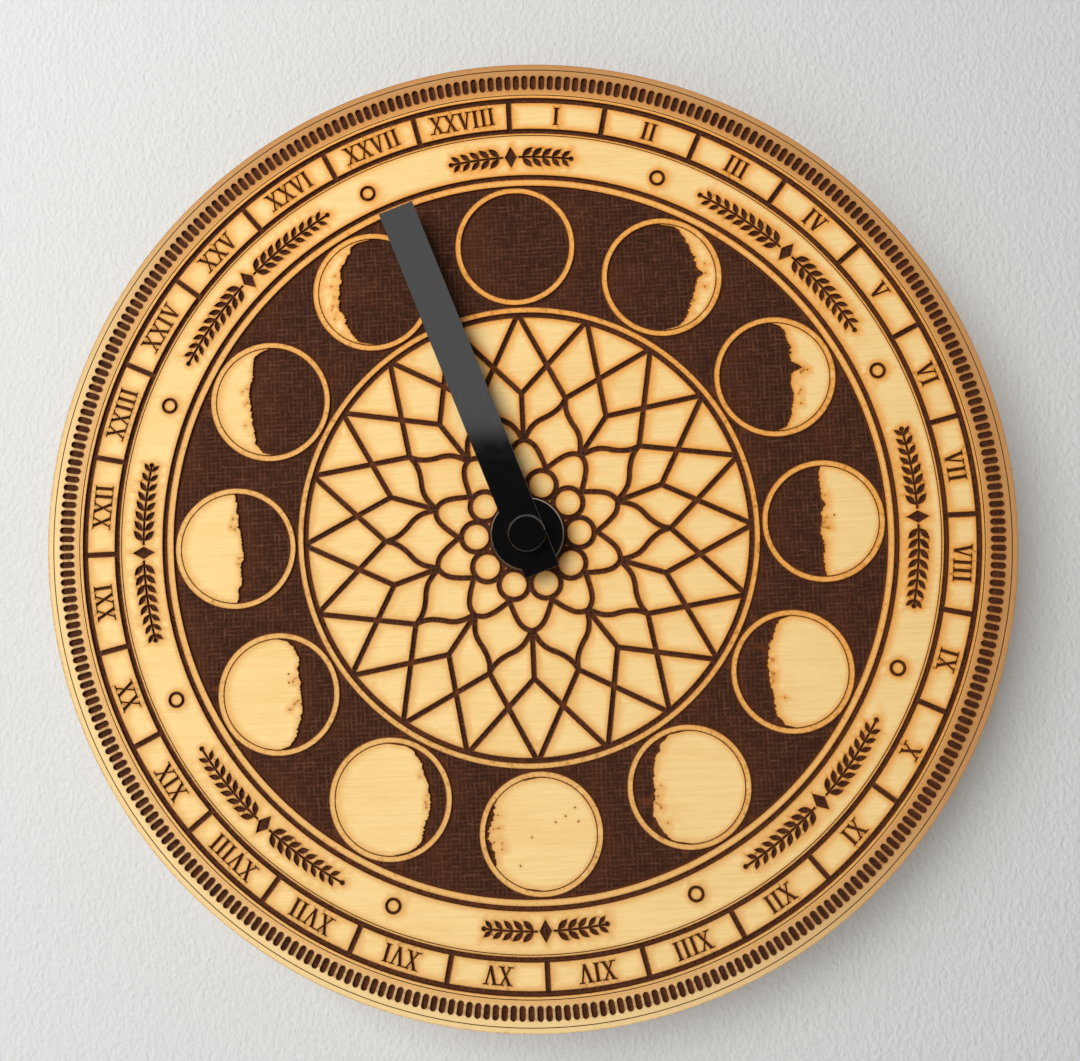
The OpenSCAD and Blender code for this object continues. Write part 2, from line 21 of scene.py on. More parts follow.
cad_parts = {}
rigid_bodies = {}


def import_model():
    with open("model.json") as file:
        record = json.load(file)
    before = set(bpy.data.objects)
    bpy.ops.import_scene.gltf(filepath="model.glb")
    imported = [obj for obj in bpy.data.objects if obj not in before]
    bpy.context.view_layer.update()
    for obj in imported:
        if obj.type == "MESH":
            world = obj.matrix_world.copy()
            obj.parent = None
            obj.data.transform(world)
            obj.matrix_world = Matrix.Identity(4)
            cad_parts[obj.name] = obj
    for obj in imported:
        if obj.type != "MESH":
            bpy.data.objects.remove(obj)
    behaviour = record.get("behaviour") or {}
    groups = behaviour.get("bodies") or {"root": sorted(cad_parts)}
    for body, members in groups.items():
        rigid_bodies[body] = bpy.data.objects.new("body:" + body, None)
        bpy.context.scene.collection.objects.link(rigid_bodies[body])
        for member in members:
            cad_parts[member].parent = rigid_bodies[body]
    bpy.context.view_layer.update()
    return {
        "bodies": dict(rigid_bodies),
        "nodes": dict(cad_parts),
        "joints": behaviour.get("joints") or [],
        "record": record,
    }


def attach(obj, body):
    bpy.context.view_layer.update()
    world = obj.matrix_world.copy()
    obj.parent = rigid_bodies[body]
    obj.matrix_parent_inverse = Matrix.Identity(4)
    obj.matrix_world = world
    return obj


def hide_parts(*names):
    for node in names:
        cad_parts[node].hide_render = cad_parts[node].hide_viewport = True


LOG = logging.getLogger("moon_clock")
MM = 0.001
ARBOR_Z = -33.0
TINY = 1e-6
# Length of a disc's steps in millimetres, and their fewest and most
DISC_STEP = 1.5
FEWEST_STEPS = 24
MOST_STEPS = 360
Point = tuple[float, float]
Outline = list[Point]


def to_world(points: np.ndarray | list, depth: float) -> list[tuple[float, float, float]]:
    """Puts points of the dial plane in the row frame.

    Args:
        points: Places about the arbor in millimetres, right and up.
        depth: Distance from the wall in millimetres.

    Returns:
        The places in metres.
    """
    return [(x * MM, -depth * MM, (y + ARBOR_Z) * MM) for x, y in points]


def turned(points: Outline, degrees: float) -> Outline:
    """Points turned clockwise about the arbor."""
    c, s = math.cos(math.radians(degrees)), math.sin(math.radians(degrees))
    return [(x * c + y * s, y * c - x * s) for x, y in points]


def moved(points: Outline, dx: float, dy: float) -> Outline:
    """Points shifted in the dial plane."""
    return [(x + dx, y + dy) for x, y in points]


def on_circle(radius: float, degrees: float) -> Point:
    """The place at an angle clockwise from the top."""
    a = math.radians(degrees)
    return radius * math.sin(a), radius * math.cos(a)


def disc(radius: float, centre: Point = (0.0, 0.0), steps: int = 0) -> Outline:
    """A circle's outline, with a step of about 1.5 mm unless steps is given."""
    count = steps or max(FEWEST_STEPS, min(MOST_STEPS, int(2 * math.pi * radius / DISC_STEP)))
    angles = [2 * math.pi * k / count for k in range(count)]
    return [(centre[0] + radius * math.cos(a), centre[1] + radius * math.sin(a)) for a in angles]


def signed_area(outline: Outline) -> float:
    """Area inside an outline, negative if it runs clockwise."""
    return sum(a[0] * b[1] - a[1] * b[0] for a, b in zip(outline, outline[1:] + outline[:1])) / 2


def strip(a: Point, b: Point, width: float, extra: float = 0.3) -> Outline:
    """A straight stroke from a to b that runs past both by a share of its width."""
    along = Vector((b[0] - a[0], b[1] - a[1]))
    along.normalize()
    side = Vector((-along.y, along.x)) * (width / 2)
    start = Vector(a) - along * width * extra
    end = Vector(b) + along * width * extra
    return [tuple(p) for p in (start - side, end - side, end + side, start + side)]


def linear(*rgb: int) -> tuple[float, float, float, float]:
    """An sRGB colour of 0 to 255 as linear light."""
    return (*(((c / 255 + 0.055) / 1.055) ** 2.4 if c > 10 else c / 255 / 12.92 for c in rgb), 1.0)


# Shader trees


class Wire:
    """One output of a shader tree, with the usual arithmetic."""

    def __init__(self, tree: "Shader", socket: bpy.types.NodeSocket):
        self.tree = tree
        self.socket = socket

    def _with(self, operation: str, first: "Wire | float", second: "Wire | float") -> "Wire":
        node = self.tree.add("ShaderNodeMath", {"operation": operation}, {0: first, 1: second})
        return Wire(self.tree, node.outputs[0])

    def __add__(self, other: "Wire | float") -> "Wire":
        return self._with("ADD", self, other)

    __radd__ = __add__

    def __sub__(self, other: "Wire | float") -> "Wire":
        return self._with("SUBTRACT", self, other)

    def __rsub__(self, other: "Wire | float") -> "Wire":
        return self._with("SUBTRACT", other, self)

    def __mul__(self, other: "Wire | float") -> "Wire":
        return self._with("MULTIPLY", self, other)

    __rmul__ = __mul__

    def __pow__(self, other: "Wire | float") -> "Wire":
        return self._with("POWER", self, other)

    def sine(self) -> "Wire":
        return self._with("SINE", self, 0.0)

    def larger(self, other: "Wire | float") -> "Wire":
        return self._with("MAXIMUM", self, other)

    def rise(self, low: float, high: float) -> "Wire":
        """0 below low, 1 above high and smooth between them."""
        node = self.tree.add(
            "ShaderNodeMapRange",
            {"interpolation_type": "SMOOTHSTEP"},
            {"Value": self, "From Min": low, "From Max": high},
        )
        return Wire(self.tree, node.outputs[0])


class Shader:
    """A material's tree round one Principled BSDF."""

    def __init__(self, name: str):
        self.material = bpy.data.materials.new(name)
        self.material.use_nodes = True
        self.nodes = self.material.node_tree.nodes
        self.links = self.material.node_tree.links
        self.surface = self.nodes["Principled BSDF"]

    def add(self, kind: str, props: dict | None = None, inputs: dict | None = None) -> bpy.types.Node:
        """Adds a node.

        Args:
            kind: The node's type name.
            props: Settings of the node.
            inputs: Values or wires by input name or number.

        Returns:
            The new node.
        """
        node = self.nodes.new(kind)
        for key, value in (props or {}).items():
            setattr(node, key, value)
        for key, value in (inputs or {}).items():
            self.feed(node.inputs[key], value)
        return node

    def feed(self, socket: bpy.types.NodeSocket, value: object) -> None:
        """Sets an input to a constant or joins a wire to it."""
        if isinstance(value, Wire):
            self.links.new(value.socket, socket)
        else:
            socket.default_value = value

    def place(self, scale: tuple[float, float, float] = (1.0, 1.0, 1.0)) -> Wire:
        """Object coordinates in millimetres, stretched by scale."""
        source = self.add("ShaderNodeTexCoord").outputs["Object"]
        node = self.add(
            "ShaderNodeVectorMath",
            {"operation": "MULTIPLY"},
            {0: Wire(self, source), 1: tuple(s / MM for s in scale)},
        )
        return Wire(self, node.outputs[0])

    def axes(self) -> tuple[Wire, Wire, Wire]:
        """x, y and z in millimetres."""
        node = self.add("ShaderNodeSeparateXYZ", None, {0: self.place()})
        return Wire(self, node.outputs[0]), Wire(self, node.outputs[1]), Wire(self, node.outputs[2])

    def dial_axes(self) -> tuple[Wire, Wire, Wire]:
        """Right, up and the radius, all about the arbor and in millimetres."""
        x, _, z = self.axes()
        up = z - ARBOR_Z
        return x, up, (x * x + up * up) ** 0.5

    def noise(self, scale: tuple[float, float, float], detail: float = 2.0, rough: float = 0.5) -> Wire:
        """Smooth noise of 0 to 1, with so many cells per millimetre on each axis."""
        node = self.add(
            "ShaderNodeTexNoise",
            None,
            {"Vector": self.place(scale), "Scale": 1.0, "Detail": detail, "Roughness": rough},
        )
        return Wire(self, node.outputs[0])

    def number(self, name: str) -> Wire:
        """A named value of the mesh."""
        node = self.add("ShaderNodeAttribute", {"attribute_name": name})
        return Wire(self, node.outputs["Fac"])

    def blend(self, first: "Wire | tuple", second: "Wire | tuple", share: "Wire | float") -> Wire:
        """A colour between two others."""
        node = self.add("ShaderNodeMix", {"data_type": "RGBA"})
        for wanted, value in (("Factor_Float", share), ("A_Color", first), ("B_Color", second)):
            self.feed(next(s for s in node.inputs if s.identifier == wanted), value)
        return Wire(self, next(s for s in node.outputs if s.identifier == "Result_Color"))

    def relief(self, height: Wire, distance_mm: float, strength: float = 1.0) -> None:
        """Feeds a bump of that height to the surface's normal."""
        node = self.add(
            "ShaderNodeBump", None, {"Height": height, "Distance": distance_mm * MM, "Strength": strength}
        )
        self.feed(self.surface.inputs["Normal"], Wire(self, node.outputs[0]))

    def set(self, **values: object) -> None:
        """Sets inputs of the surface, named with underscores for spaces."""
        for key, value in values.items():
            self.feed(self.surface.inputs[key.replace("_", " ")], value)


# Finishes


@dataclass(frozen=True)
class Finish:
    """A finish of one colour with fine mottling and relief."""

    name: str
    color: tuple[float, float, float, float]
    rough: float = 0.5
    metal: float = 0.0
    mottle: float = 0.15
    grain: tuple[float, float, float] = (3.0, 3.0, 3.0)
    relief_mm: float = 0.02
    coat: float = 0.0
    shine: float = 0.5

    def material(self) -> bpy.types.Material:
        """Builds the material once and returns it."""
        name = "finish_" + self.name
        known = bpy.data.materials.get(name)
        if known:
            return known
        shader = Shader(name)
        self.paint(shader)
        return shader.material

    def paint(self, shader: Shader) -> None:
        """Fills the tree."""
        spots = shader.noise(self.grain, 3.0)
        dark = tuple(c * (1 - self.mottle) for c in self.color[:3]) + (1.0,)
        shader.set(
            Base_Color=shader.blend(dark, self.color, spots),
            Roughness=spots * 0.12 + (self.rough - 0.06),
            Metallic=self.metal,
            Coat_Weight=self.coat,
            Coat_Roughness=0.08,
            Specular_IOR_Level=self.shine,
        )
        if self.relief_mm:
            shader.relief(spots, self.relief_mm)

    def cover(self, shader: Shader, color: Wire, height: Wire, depth_mm: float) -> None:
        """Sets a colour and a relief, with the finish's own gloss."""
        shader.set(Base_Color=color, Roughness=self.rough, Specular_IOR_Level=self.shine)
        shader.relief(height, depth_mm)


@dataclass(frozen=True)
class BirchFace(Finish):
    """Pale plywood, scorched amber and brown towards the engraved edges."""

    amber: tuple[float, float, float, float] = linear(238, 160, 68)
    light_amber: tuple[float, float, float, float] = linear(230, 172, 98)
    brown: tuple[float, float, float, float] = linear(150, 88, 40)
    tan: tuple[float, float, float, float] = linear(188, 136, 86)
    light_tan: tuple[float, float, float, float] = linear(244, 214, 156)
    warm_tan: tuple[float, float, float, float] = linear(216, 150, 82)
    rim_radius: float = 116.9

    def paint(self, shader: Shader) -> None:
        """Fills the tree."""
        x, up, radius = shader.dial_axes()
        edge = shader.number("edge_mm")
        patches = shader.noise((0.05, 0.05, 0.08), 2.0)
        streaks = shader.noise((0.06, 0.5, 1.9), 3.0, 0.6)
        fibres = shader.noise((0.25, 0.5, 6.0), 2.0)
        figure = streaks.rise(0.35, 0.8) * 0.5 + patches.rise(0.4, 0.7) * 0.25
        pale = shader.blend(self.color, linear(240, 196, 122), figure)
        burn = edge + (shader.noise((1.2, 1.2, 1.2), 2.0) - 0.5) * 0.5
        # Towards the upper right the scorch is a deeper amber and the rim a darker tan; towards the lower
        # left both are paler.
        amber = shader.blend(self.light_amber, self.amber, (x + up).rise(-70.0, 60.0))
        toned = shader.blend(amber, pale, burn.rise(-0.3, 2.1))
        rim = shader.blend(self.light_tan, self.tan, (x + up).rise(-130.0, 60.0))
        outward = radius.rise(self.rim_radius, self.rim_radius + 2.8)
        rim = shader.blend(self.warm_tan, rim, outward * 0.7 + 0.3)
        on_rim = radius.rise(self.rim_radius - 0.3, self.rim_radius + 0.3)
        toned = shader.blend(toned, rim, on_rim * 0.85)
        toned = shader.blend(self.brown, toned, burn.rise(-0.35, 0.38))
        toned = shader.blend(toned, linear(170, 112, 62), fibres.rise(0.55, 0.9) * 0.22)
        self.cover(shader, toned, fibres * 0.5 + streaks * 0.5, 0.05)


@dataclass(frozen=True)
class BurntFloor(Finish):
    """The bottom of the engraving, with the laser's crossed lines in it and a lighter reddish brown beside
    the walls that is partly painted bounce light.
    """

    thread: tuple[float, float, float, float] = linear(128, 84, 62)
    pitch_mm: float = 1.15

    def lines(self, shader: Shader, axis: Wire, wobble: Wire, scale: tuple[float, float, float]) -> Wire:
        """The laser's lines across one axis, fainter in places."""
        wave = (axis * (2 * math.pi / self.pitch_mm) + wobble).sine() * 0.5 + 0.5
        return wave * shader.noise(scale, 3.0, 0.7).rise(0.3, 0.75)

    def paint(self, shader: Shader) -> None:
        """Fills the tree."""
        x, _, z = shader.axes()
        wobble = shader.noise((0.35, 0.35, 0.35), 2.0) * 5.0
        strength = shader.noise((0.5, 0.5, 0.5), 3.0, 0.7).rise(0.3, 0.75)
        across = self.lines(shader, z, wobble, (0.25, 0.5, 1.4))
        upright = self.lines(shader, x, wobble, (1.4, 0.5, 0.25))
        threads = across.larger(upright) * (strength * 0.6 + 0.4)
        specks = shader.noise((2.6, 2.6, 2.6), 2.0).rise(0.62, 0.85)
        # Painted bounce light: within about 0.7 mm of the walls the floor turns a lighter reddish brown. It
        # stands in for light thrown off the lit walls, and is partly the scorch's own lighter brown there.
        bounce_light_and_scorch = 1.0 - shader.number("edge_mm").rise(0.0, 0.7)
        base = shader.blend(self.color, self.thread, (threads * 0.75 + specks * 0.35))
        base = shader.blend(base, linear(108, 60, 36), bounce_light_and_scorch * 0.7)
        self.cover(shader, base, threads + specks * 0.3, 0.12)


@dataclass(frozen=True)
class PlyEdge(Finish):
    """The laser-cut side of the plywood, with its darker glue lines."""

    glue: tuple[float, float, float, float] = linear(38, 24, 17)
    ply_mm: float = 1.333

    def paint(self, shader: Shader) -> None:
        """Fills the tree."""
        _, y, _ = shader.axes()
        lines = (y * (2 * math.pi / self.ply_mm)).sine().rise(0.75, 0.98)
        soot = shader.noise((0.6, 2.5, 0.6), 3.0, 0.6)
        wood = shader.blend(self.color, linear(128, 84, 54), soot.rise(0.4, 0.8) * 0.6)
        self.cover(shader, shader.blend(wood, self.glue, lines), soot - lines * 0.4, 0.08)


@dataclass(frozen=True)
class BirchBack(Finish):
    """The untouched back of the plywood, browned a little at its rim."""

    rim_radius: float = 125.0

    def paint(self, shader: Shader) -> None:
        """Fills the tree."""
        _, _, radius = shader.dial_axes()
        streaks = shader.noise((0.05, 0.5, 1.3), 4.0, 0.6)
        fibres = shader.noise((0.2, 0.5, 5.0), 2.0)
        wood = shader.blend(self.color, linear(196, 156, 106), streaks.rise(0.35, 0.8) * 0.6)
        smoke = radius.rise(self.rim_radius - 2.6, self.rim_radius)
        wood = shader.blend(wood, linear(122, 78, 46), smoke * 0.8 + fibres.rise(0.6, 0.9) * 0.2)
        self.cover(shader, wood, fibres * 0.5 + streaks * 0.5, 0.06)


@dataclass(frozen=True)
class Winding(Finish):
    """Enamelled wire wound side by side, with painted shade in the grooves between the turns."""

    wire_mm: float = 0.12

    def paint(self, shader: Shader) -> None:
        """Fills the tree."""
        _, _, z = shader.axes()
        turns = (z * (2 * math.pi / self.wire_mm)).sine() * 0.5 + 0.5
        # The darker colour in the troughs between the turns is painted shade.
        dark = tuple(c * 0.45 for c in self.color[:3]) + (1.0,)
        color = shader.blend(dark, self.color, turns)
        shader.set(Base_Color=color, Roughness=self.rough, Metallic=self.metal)
        shader.relief(turns, 0.05)


@dataclass(frozen=True)
class WallPaint(Finish):
    """Rolled white paint, clear when seen from behind so that the clock's back can be looked at."""

    def paint(self, shader: Shader) -> None:
        """Fills the tree."""
        super().paint(shader)
        behind = shader.add("ShaderNodeNewGeometry").outputs["Backfacing"]
        seen = shader.add("ShaderNodeLightPath").outputs["Is Camera Ray"]
        clear = shader.add("ShaderNodeBsdfTransparent")
        mix = shader.add("ShaderNodeMixShader", None, {0: Wire(shader, behind) * Wire(shader, seen)})
        join = shader.links.new
        join(shader.surface.outputs[0], mix.inputs[1])
        join(clear.outputs[0], mix.inputs[2])
        join(mix.outputs[0], shader.nodes["Material Output"].inputs[0])


FACE = BirchFace("birch_face", linear(251, 217, 152), 0.62, shine=0.1)
BACK = BirchBack("birch_back", linear(226, 192, 142), 0.7, shine=0.2)
FLOOR = BurntFloor("burnt_floor", linear(52, 29, 20), 0.9, shine=0.1)
STEP = Finish("burnt_step", linear(92, 52, 30), 0.9, mottle=0.5, relief_mm=0.03, shine=0.15)
SCORE = Finish("scored_line", linear(112, 66, 34), 0.85, mottle=0.5, relief_mm=0.03, shine=0.15)
PLIES = PlyEdge("ply_edge", linear(84, 52, 34), 0.85, shine=0.15)
LACQUER = Finish(
    "black_lacquer",
    (0.0035, 0.0035, 0.0035, 1.0),
    0.07,
    mottle=0.1,
    grain=(0.4, 0.4, 0.4),
    relief_mm=0.0,
    shine=0.6,
)
BARE_EDGE = Finish(
    "bare_sheet_edge", linear(150, 140, 126), 0.35, metal=1.0, grain=(2.0, 2.0, 2.0), relief_mm=0.01
)
CAP_BLACK = Finish("moulded_cap", (0.0035, 0.0033, 0.0033, 1.0), 0.06, mottle=0.1, relief_mm=0.0)
BRASS = Finish("turned_brass", (0.78, 0.56, 0.26, 1.0), 0.3, metal=1.0, grain=(4.0, 0.4, 4.0), relief_mm=0.01)
STEEL = Finish(
    "polished_steel", (0.6, 0.6, 0.61, 1.0), 0.3, metal=1.0, grain=(0.5, 5.0, 0.5), relief_mm=0.008
)
RUBBER = Finish("rubber", (0.03, 0.03, 0.03, 1.0), 0.85, relief_mm=0.04)
CASE = Finish(
    "case_black", (0.034, 0.034, 0.036, 1.0), 0.55, grain=(5.0, 5.0, 5.0), relief_mm=0.05, mottle=0.3
)
ACETAL = Finish("natural_acetal", (0.78, 0.76, 0.7, 1.0), 0.45, mottle=0.06)
MAGNET = Finish("rotor_steel", (0.3, 0.3, 0.32, 1.0), 0.4, metal=1.0)
COPPER = Winding("copper_wire", (0.74, 0.34, 0.15, 1.0), 0.35, metal=1.0)
BOARD = Finish("board_green", (0.03, 0.17, 0.07, 1.0), 0.4, coat=0.3)
POTTING = Finish("chip_black", (0.012, 0.012, 0.012, 1.0), 0.35)
KNOB = Finish("knob_black", (0.03, 0.03, 0.032, 1.0), 0.5, relief_mm=0.03)
SLEEVE = Finish("cell_sleeve", (0.1, 0.115, 0.13, 1.0), 0.28, mottle=0.08, relief_mm=0.0, coat=0.4)
BAND = Finish("cell_band", (0.55, 0.55, 0.56, 1.0), 0.3, metal=0.9, relief_mm=0.0)
WALL = WallPaint(
    "wall_paint", (0.72, 0.725, 0.725, 1.0), 0.75, mottle=0.02, grain=(0.8, 0.8, 0.6), relief_mm=0.45
)
PALE_FLOOR = Finish("pale_floor", (0.7, 0.7, 0.69, 1.0), 0.8, mottle=0.03, relief_mm=0.0)


# Repeated outlines


class RingRepeat:
    """A Geometry Nodes tree that sets copies of flat outlines round the arbor."""

    def __init__(self) -> None:
        tree = bpy.data.node_groups.new("ring_repeat", "GeometryNodeTree")
        face = tree.interface
        face.new_socket("Geometry", in_out="INPUT", socket_type="NodeSocketGeometry")
        self.count = face.new_socket("Count", in_out="INPUT", socket_type="NodeSocketInt").identifier
        self.start = face.new_socket("Start", in_out="INPUT", socket_type="NodeSocketFloat").identifier
        self.finish = face.new_socket("Material", in_out="INPUT", socket_type="NodeSocketMaterial").identifier
        face.new_socket("Geometry", in_out="OUTPUT", socket_type="NodeSocketGeometry")
        self.tree = tree
        new, join = tree.nodes.new, tree.links.new
        source, result = new("NodeGroupInput"), new("NodeGroupOutput")
        points, copies = new("GeometryNodePoints"), new("GeometryNodeInstanceOnPoints")
        number, share = new("GeometryNodeInputIndex"), new("ShaderNodeMath")
        turn, angle = new("ShaderNodeMath"), new("ShaderNodeCombineXYZ")
        real, dress = new("GeometryNodeRealizeInstances"), new("GeometryNodeSetMaterial")
        share.operation, turn.operation = "DIVIDE", "MULTIPLY_ADD"
        join(source.outputs["Count"], points.inputs["Count"])
        join(number.outputs[0], share.inputs[0])
        join(source.outputs["Count"], share.inputs[1])
        join(share.outputs[0], turn.inputs[0])
        turn.inputs[1].default_value = -2 * math.pi
        join(source.outputs["Start"], turn.inputs[2])
        join(turn.outputs[0], angle.inputs["Z"])
        join(points.outputs[0], copies.inputs["Points"])
        join(source.outputs["Geometry"], copies.inputs["Instance"])
        join(angle.outputs[0], copies.inputs["Rotation"])
        join(copies.outputs[0], real.inputs[0])
        join(real.outputs[0], dress.inputs["Geometry"])
        join(source.outputs["Material"], dress.inputs["Material"])
        join(dress.outputs[0], result.inputs[0])

    def spread(self, outlines: list[Outline], count: int, start: float = 0.0) -> list[Outline]:
        """Repeats outlines round the arbor.

        Args:
            outlines: The outlines at the top of the dial.
            count: Number of copies in a full turn.
            start: Place of the first copy, in degrees clockwise.

        Returns:
            All the copies' outlines.
        """
        mesh = bpy.data.meshes.new("outline")
        corners = [(x, y, 0.0) for outline in outlines for x, y in outline]
        starts = np.cumsum([0] + [len(o) for o in outlines])
        mesh.from_pydata(corners, [], [tuple(range(a, b)) for a, b in zip(starts[:-1], starts[1:])])
        obj = bpy.data.objects.new("outline", mesh)
        bpy.context.scene.collection.objects.link(obj)
        repeat = obj.modifiers.new("ring_repeat", "NODES")
        repeat.node_group = self.tree
        repeat[self.count] = count
        repeat[self.start] = -math.radians(start)
        repeat[self.finish] = FLOOR.material()
        done = bpy.data.meshes.new_from_object(obj.evaluated_get(bpy.context.evaluated_depsgraph_get()))
        result = [[tuple(done.vertices[i].co.xy) for i in face.vertices] for face in done.polygons]
        bpy.data.objects.remove(obj)
        bpy.data.meshes.remove(mesh)
        bpy.data.meshes.remove(done)
        return result


# Picture on the dial


class Level(Enum):
    """What is left of the face inside an outline."""

    LAND = 0
    SCORE = 1
    CUT = 2
    HOLE = 3


@dataclass
class Artwork:
    """Outlines painted in order, each one over those before it."""

    outlines: list[Outline] = field(default_factory=list)
    levels: list[Level] = field(default_factory=list)

    def paint(self, level: Level, *outlines: Outline) -> None:
        """Adds outlines at one level, each turned to run anticlockwise."""
        for outline in outlines:
            self.outlines.append(outline if signed_area(outline) > 0 else outline[::-1])
            self.levels.append(level)

    def rings(self, *steps: tuple[float, Level]) -> None:
        """Adds discs about the arbor, from the largest to the smallest."""
        for radius, level in steps:
            self.paint(level, disc(radius))

    def groove(self, level: Level, outer: float, inner: float) -> None:
        """Adds a ring about the arbor, with untouched face inside it."""
        self.rings((outer, level), (inner, Level.LAND))


@dataclass(frozen=True)
class DialSize:
    """Sizes of the dial in millimetres, radii about the arbor."""

    radius: float = 125.0
    back: float = 17.0
    front: float = 21.0
    engraved: float = 0.7
    scored: float = 0.2
    hole_radius: float = 4.1
    notches: int = 336
    notch_in: float = 118.1
    notch_out: float = 122.0
    notch_width: float = 1.62
    rim_line: tuple[float, float] = (123.62, 123.38)
    notch_line: tuple[float, float] = (116.8, 116.55)
    cells: int = 28
    divider_width: float = 1.35
    cell_in: float = 106.87
    cell_out: float = 115.2
    cell_out_groove: tuple[float, float] = (115.9, 114.5)
    cell_in_groove: tuple[float, float] = (107.52, 106.22)
    label_line: tuple[float, float] = (105.82, 105.57)
    label_groove: tuple[float, float] = (95.0, 93.7)
    numeral_radius: float = 111.05
    moons: int = 12
    moon_pitch: float = 75.87
    moon_outer: float = 15.6
    moon_inner: float = 14.3
    moon_lit: float = 14.03
    field_out: float = 92.1
    field_in: float = 59.5
    labels: int = 8
    small_ring: tuple[float, float] = (2.1, 1.35)
    small_ring_pitch: float = 99.8
    label_pitch: float = 99.9
    stroke: float = 1.35
    petals: int = 10
    star_tip: float = 57.9
    star_node: float = 36.8
    petal_top: float = 25.0
    bead_pitch: float = 13.27
    bead_radius: float = 3.85
    flower_groove: tuple[float, float] = (58.2, 56.8)
    hub_groove: tuple[float, float] = (10.2, 8.9)


class Numeral:
    """A plain Roman numeral as overlapping outlines, upright about its middle."""

    HEIGHT = 4.7
    THICK = 0.82
    THIN = 0.42
    SERIF = 0.3
    SERIF_HALF = 0.72
    ARM = 1.15
    ADVANCE = {"I": 2.1, "V": 3.75, "X": 3.75}
    # Place at the top, place at the foot and width of each stroke
    STROKES = {
        "I": ((0.0, 0.0, THICK),),
        "V": ((-ARM, 0.1, THICK), (ARM, 0.1, THIN)),
        "X": ((-ARM, ARM, THICK), (ARM, -ARM, THIN)),
    }
    # Place of each serif, and 1 at the top or -1 at the foot
    SERIFS = {
        "I": ((0.0, -1), (0.0, 1)),
        "V": ((-ARM, 1), (ARM, 1)),
        "X": ((-ARM, 1), (ARM, 1), (-ARM, -1), (ARM, -1)),
    }

    def __init__(self, value: int):
        tens, ones = divmod(value, 10)
        self.word = "X" * tens + ("", "I", "II", "III", "IV", "V", "VI", "VII", "VIII", "IX")[ones]

    def outlines(self) -> list[Outline]:
        """Every stroke of the numeral."""
        width = sum(self.ADVANCE[c] for c in self.word)
        place = -width / 2
        result = []
        for letter in self.word:
            middle = place + self.ADVANCE[letter] / 2
            result += [moved(o, middle, 0.0) for o in self.letter(letter)]
            place += self.ADVANCE[letter]
        return result

    def letter(self, letter: str) -> list[Outline]:
        """The strokes of one letter about its middle."""
        top = self.HEIGHT / 2 - self.SERIF / 2
        strokes = [self.leaning(*stroke) for stroke in self.STROKES[letter]]
        return strokes + [self.foot(x, side * top) for x, side in self.SERIFS[letter]]

    def leaning(self, top_x: float, foot_x: float, width: float) -> Outline:
        """A stroke from the top line to the foot line."""
        h, w = self.HEIGHT / 2, width / 2
        return [(foot_x - w, -h), (foot_x + w, -h), (top_x + w, h), (top_x - w, h)]

    def foot(self, x: float, y: float) -> Outline:
        """A short flat serif."""
        w, h = self.SERIF_HALF, self.SERIF / 2
        return [(x - w, y - h), (x + w, y - h), (x + w, y + h), (x - w, y + h)]


# Waves, place in the noise and reach of the shadow lines' roughness, as shares of a moon's radius
ROUGHNESS = ((3.1, 0.0, 0.07), (11.0, 5.0, 0.035), (31.0, 9.0, 0.026), (67.0, 12.0, 0.022))
SHADOW_ROWS = 116
LIMB_STEPS = 40
CRATER_CORNERS = 7
GIVEN_CRATER = 0.26
SEED_STEP = 7.3


@dataclass(frozen=True)
class MoonFace:
    """One moon picture. Places are shares of the radius, right and up.

    lit is 1 where the right side is lit and -1 where the left is. edge is where the ragged shadow line
    crosses the middle, and spurs are (height, reach, spread) of its larger points.
    """

    edge: float
    lit: int
    spurs: tuple[tuple[float, float, float], ...] = ()
    craters: tuple[Point, ...] = ()

    def shadow_line(self, height: float, seed: float) -> float:
        """How far right the shadow line is at a height."""
        arch = max(0.0, 1 - height * height) ** 0.4
        rough = 0.0
        for waves, place, reach in ROUGHNESS:
            rough += noise.noise(Vector((height * waves, seed, place))) * reach
        spur = sum(reach * math.exp(-(((height - y) / spread) ** 2)) for y, reach, spread in self.spurs)
        place = self.edge * arch + (rough + spur) * min(1.0, arch * 1.5)
        limb = math.sqrt(max(0.0, 1 - height * height))
        return max(-limb, min(limb, place))

    def lit_outline(self, radius: float, seed: float) -> Outline:
        """The lit part's outline about the moon's middle."""
        rows = [1 - 2 * k / SHADOW_ROWS for k in range(SHADOW_ROWS + 1)]
        line = [(self.shadow_line(h, seed) * radius, h * radius) for h in rows[3:-3]]
        turns = [math.pi * k / LIMB_STEPS for k in range(LIMB_STEPS + 1)]
        arc = [(self.lit * radius * math.sin(a), -radius * math.cos(a)) for a in turns]
        points = line + arc
        return points if self.lit > 0 else points[::-1]

    def marks(self, radius: float, seed: float) -> list[tuple[Level, Outline]]:
        """Small dark craters: those given, only scored, and a few deeper ones beside the shadow line."""
        places = [(Level.SCORE, x * radius, y * radius, GIVEN_CRATER) for x, y in self.craters]
        for k in range(6):
            height = noise.noise(Vector((k * 3.7, seed, 2.0))) * 1.1
            off = 0.04 + abs(noise.noise(Vector((k * 1.9, seed, 7.0)))) * 0.3
            x = self.shadow_line(height, seed) + self.lit * off
            if x * x + height * height < 0.8:
                size = 0.1 + 0.12 * abs(noise.noise(Vector((k, seed, 4.0))))
                places.append((Level.CUT, x * radius, height * radius, size))
        return [
            (level, moved(self.crater(size, seed + k), x, y)) for k, (level, x, y, size) in enumerate(places)
        ]

    @staticmethod
    def crater(size: float, seed: float) -> Outline:
        """A small uneven spot."""
        result = []
        for k in range(CRATER_CORNERS):
            reach = size * (0.7 + 0.9 * abs(noise.noise(Vector((k * 2.3, seed, 1.0)))))
            angle = 2 * math.pi * k / CRATER_CORNERS
            result.append((reach * math.cos(angle), reach * math.sin(angle)))
        return result


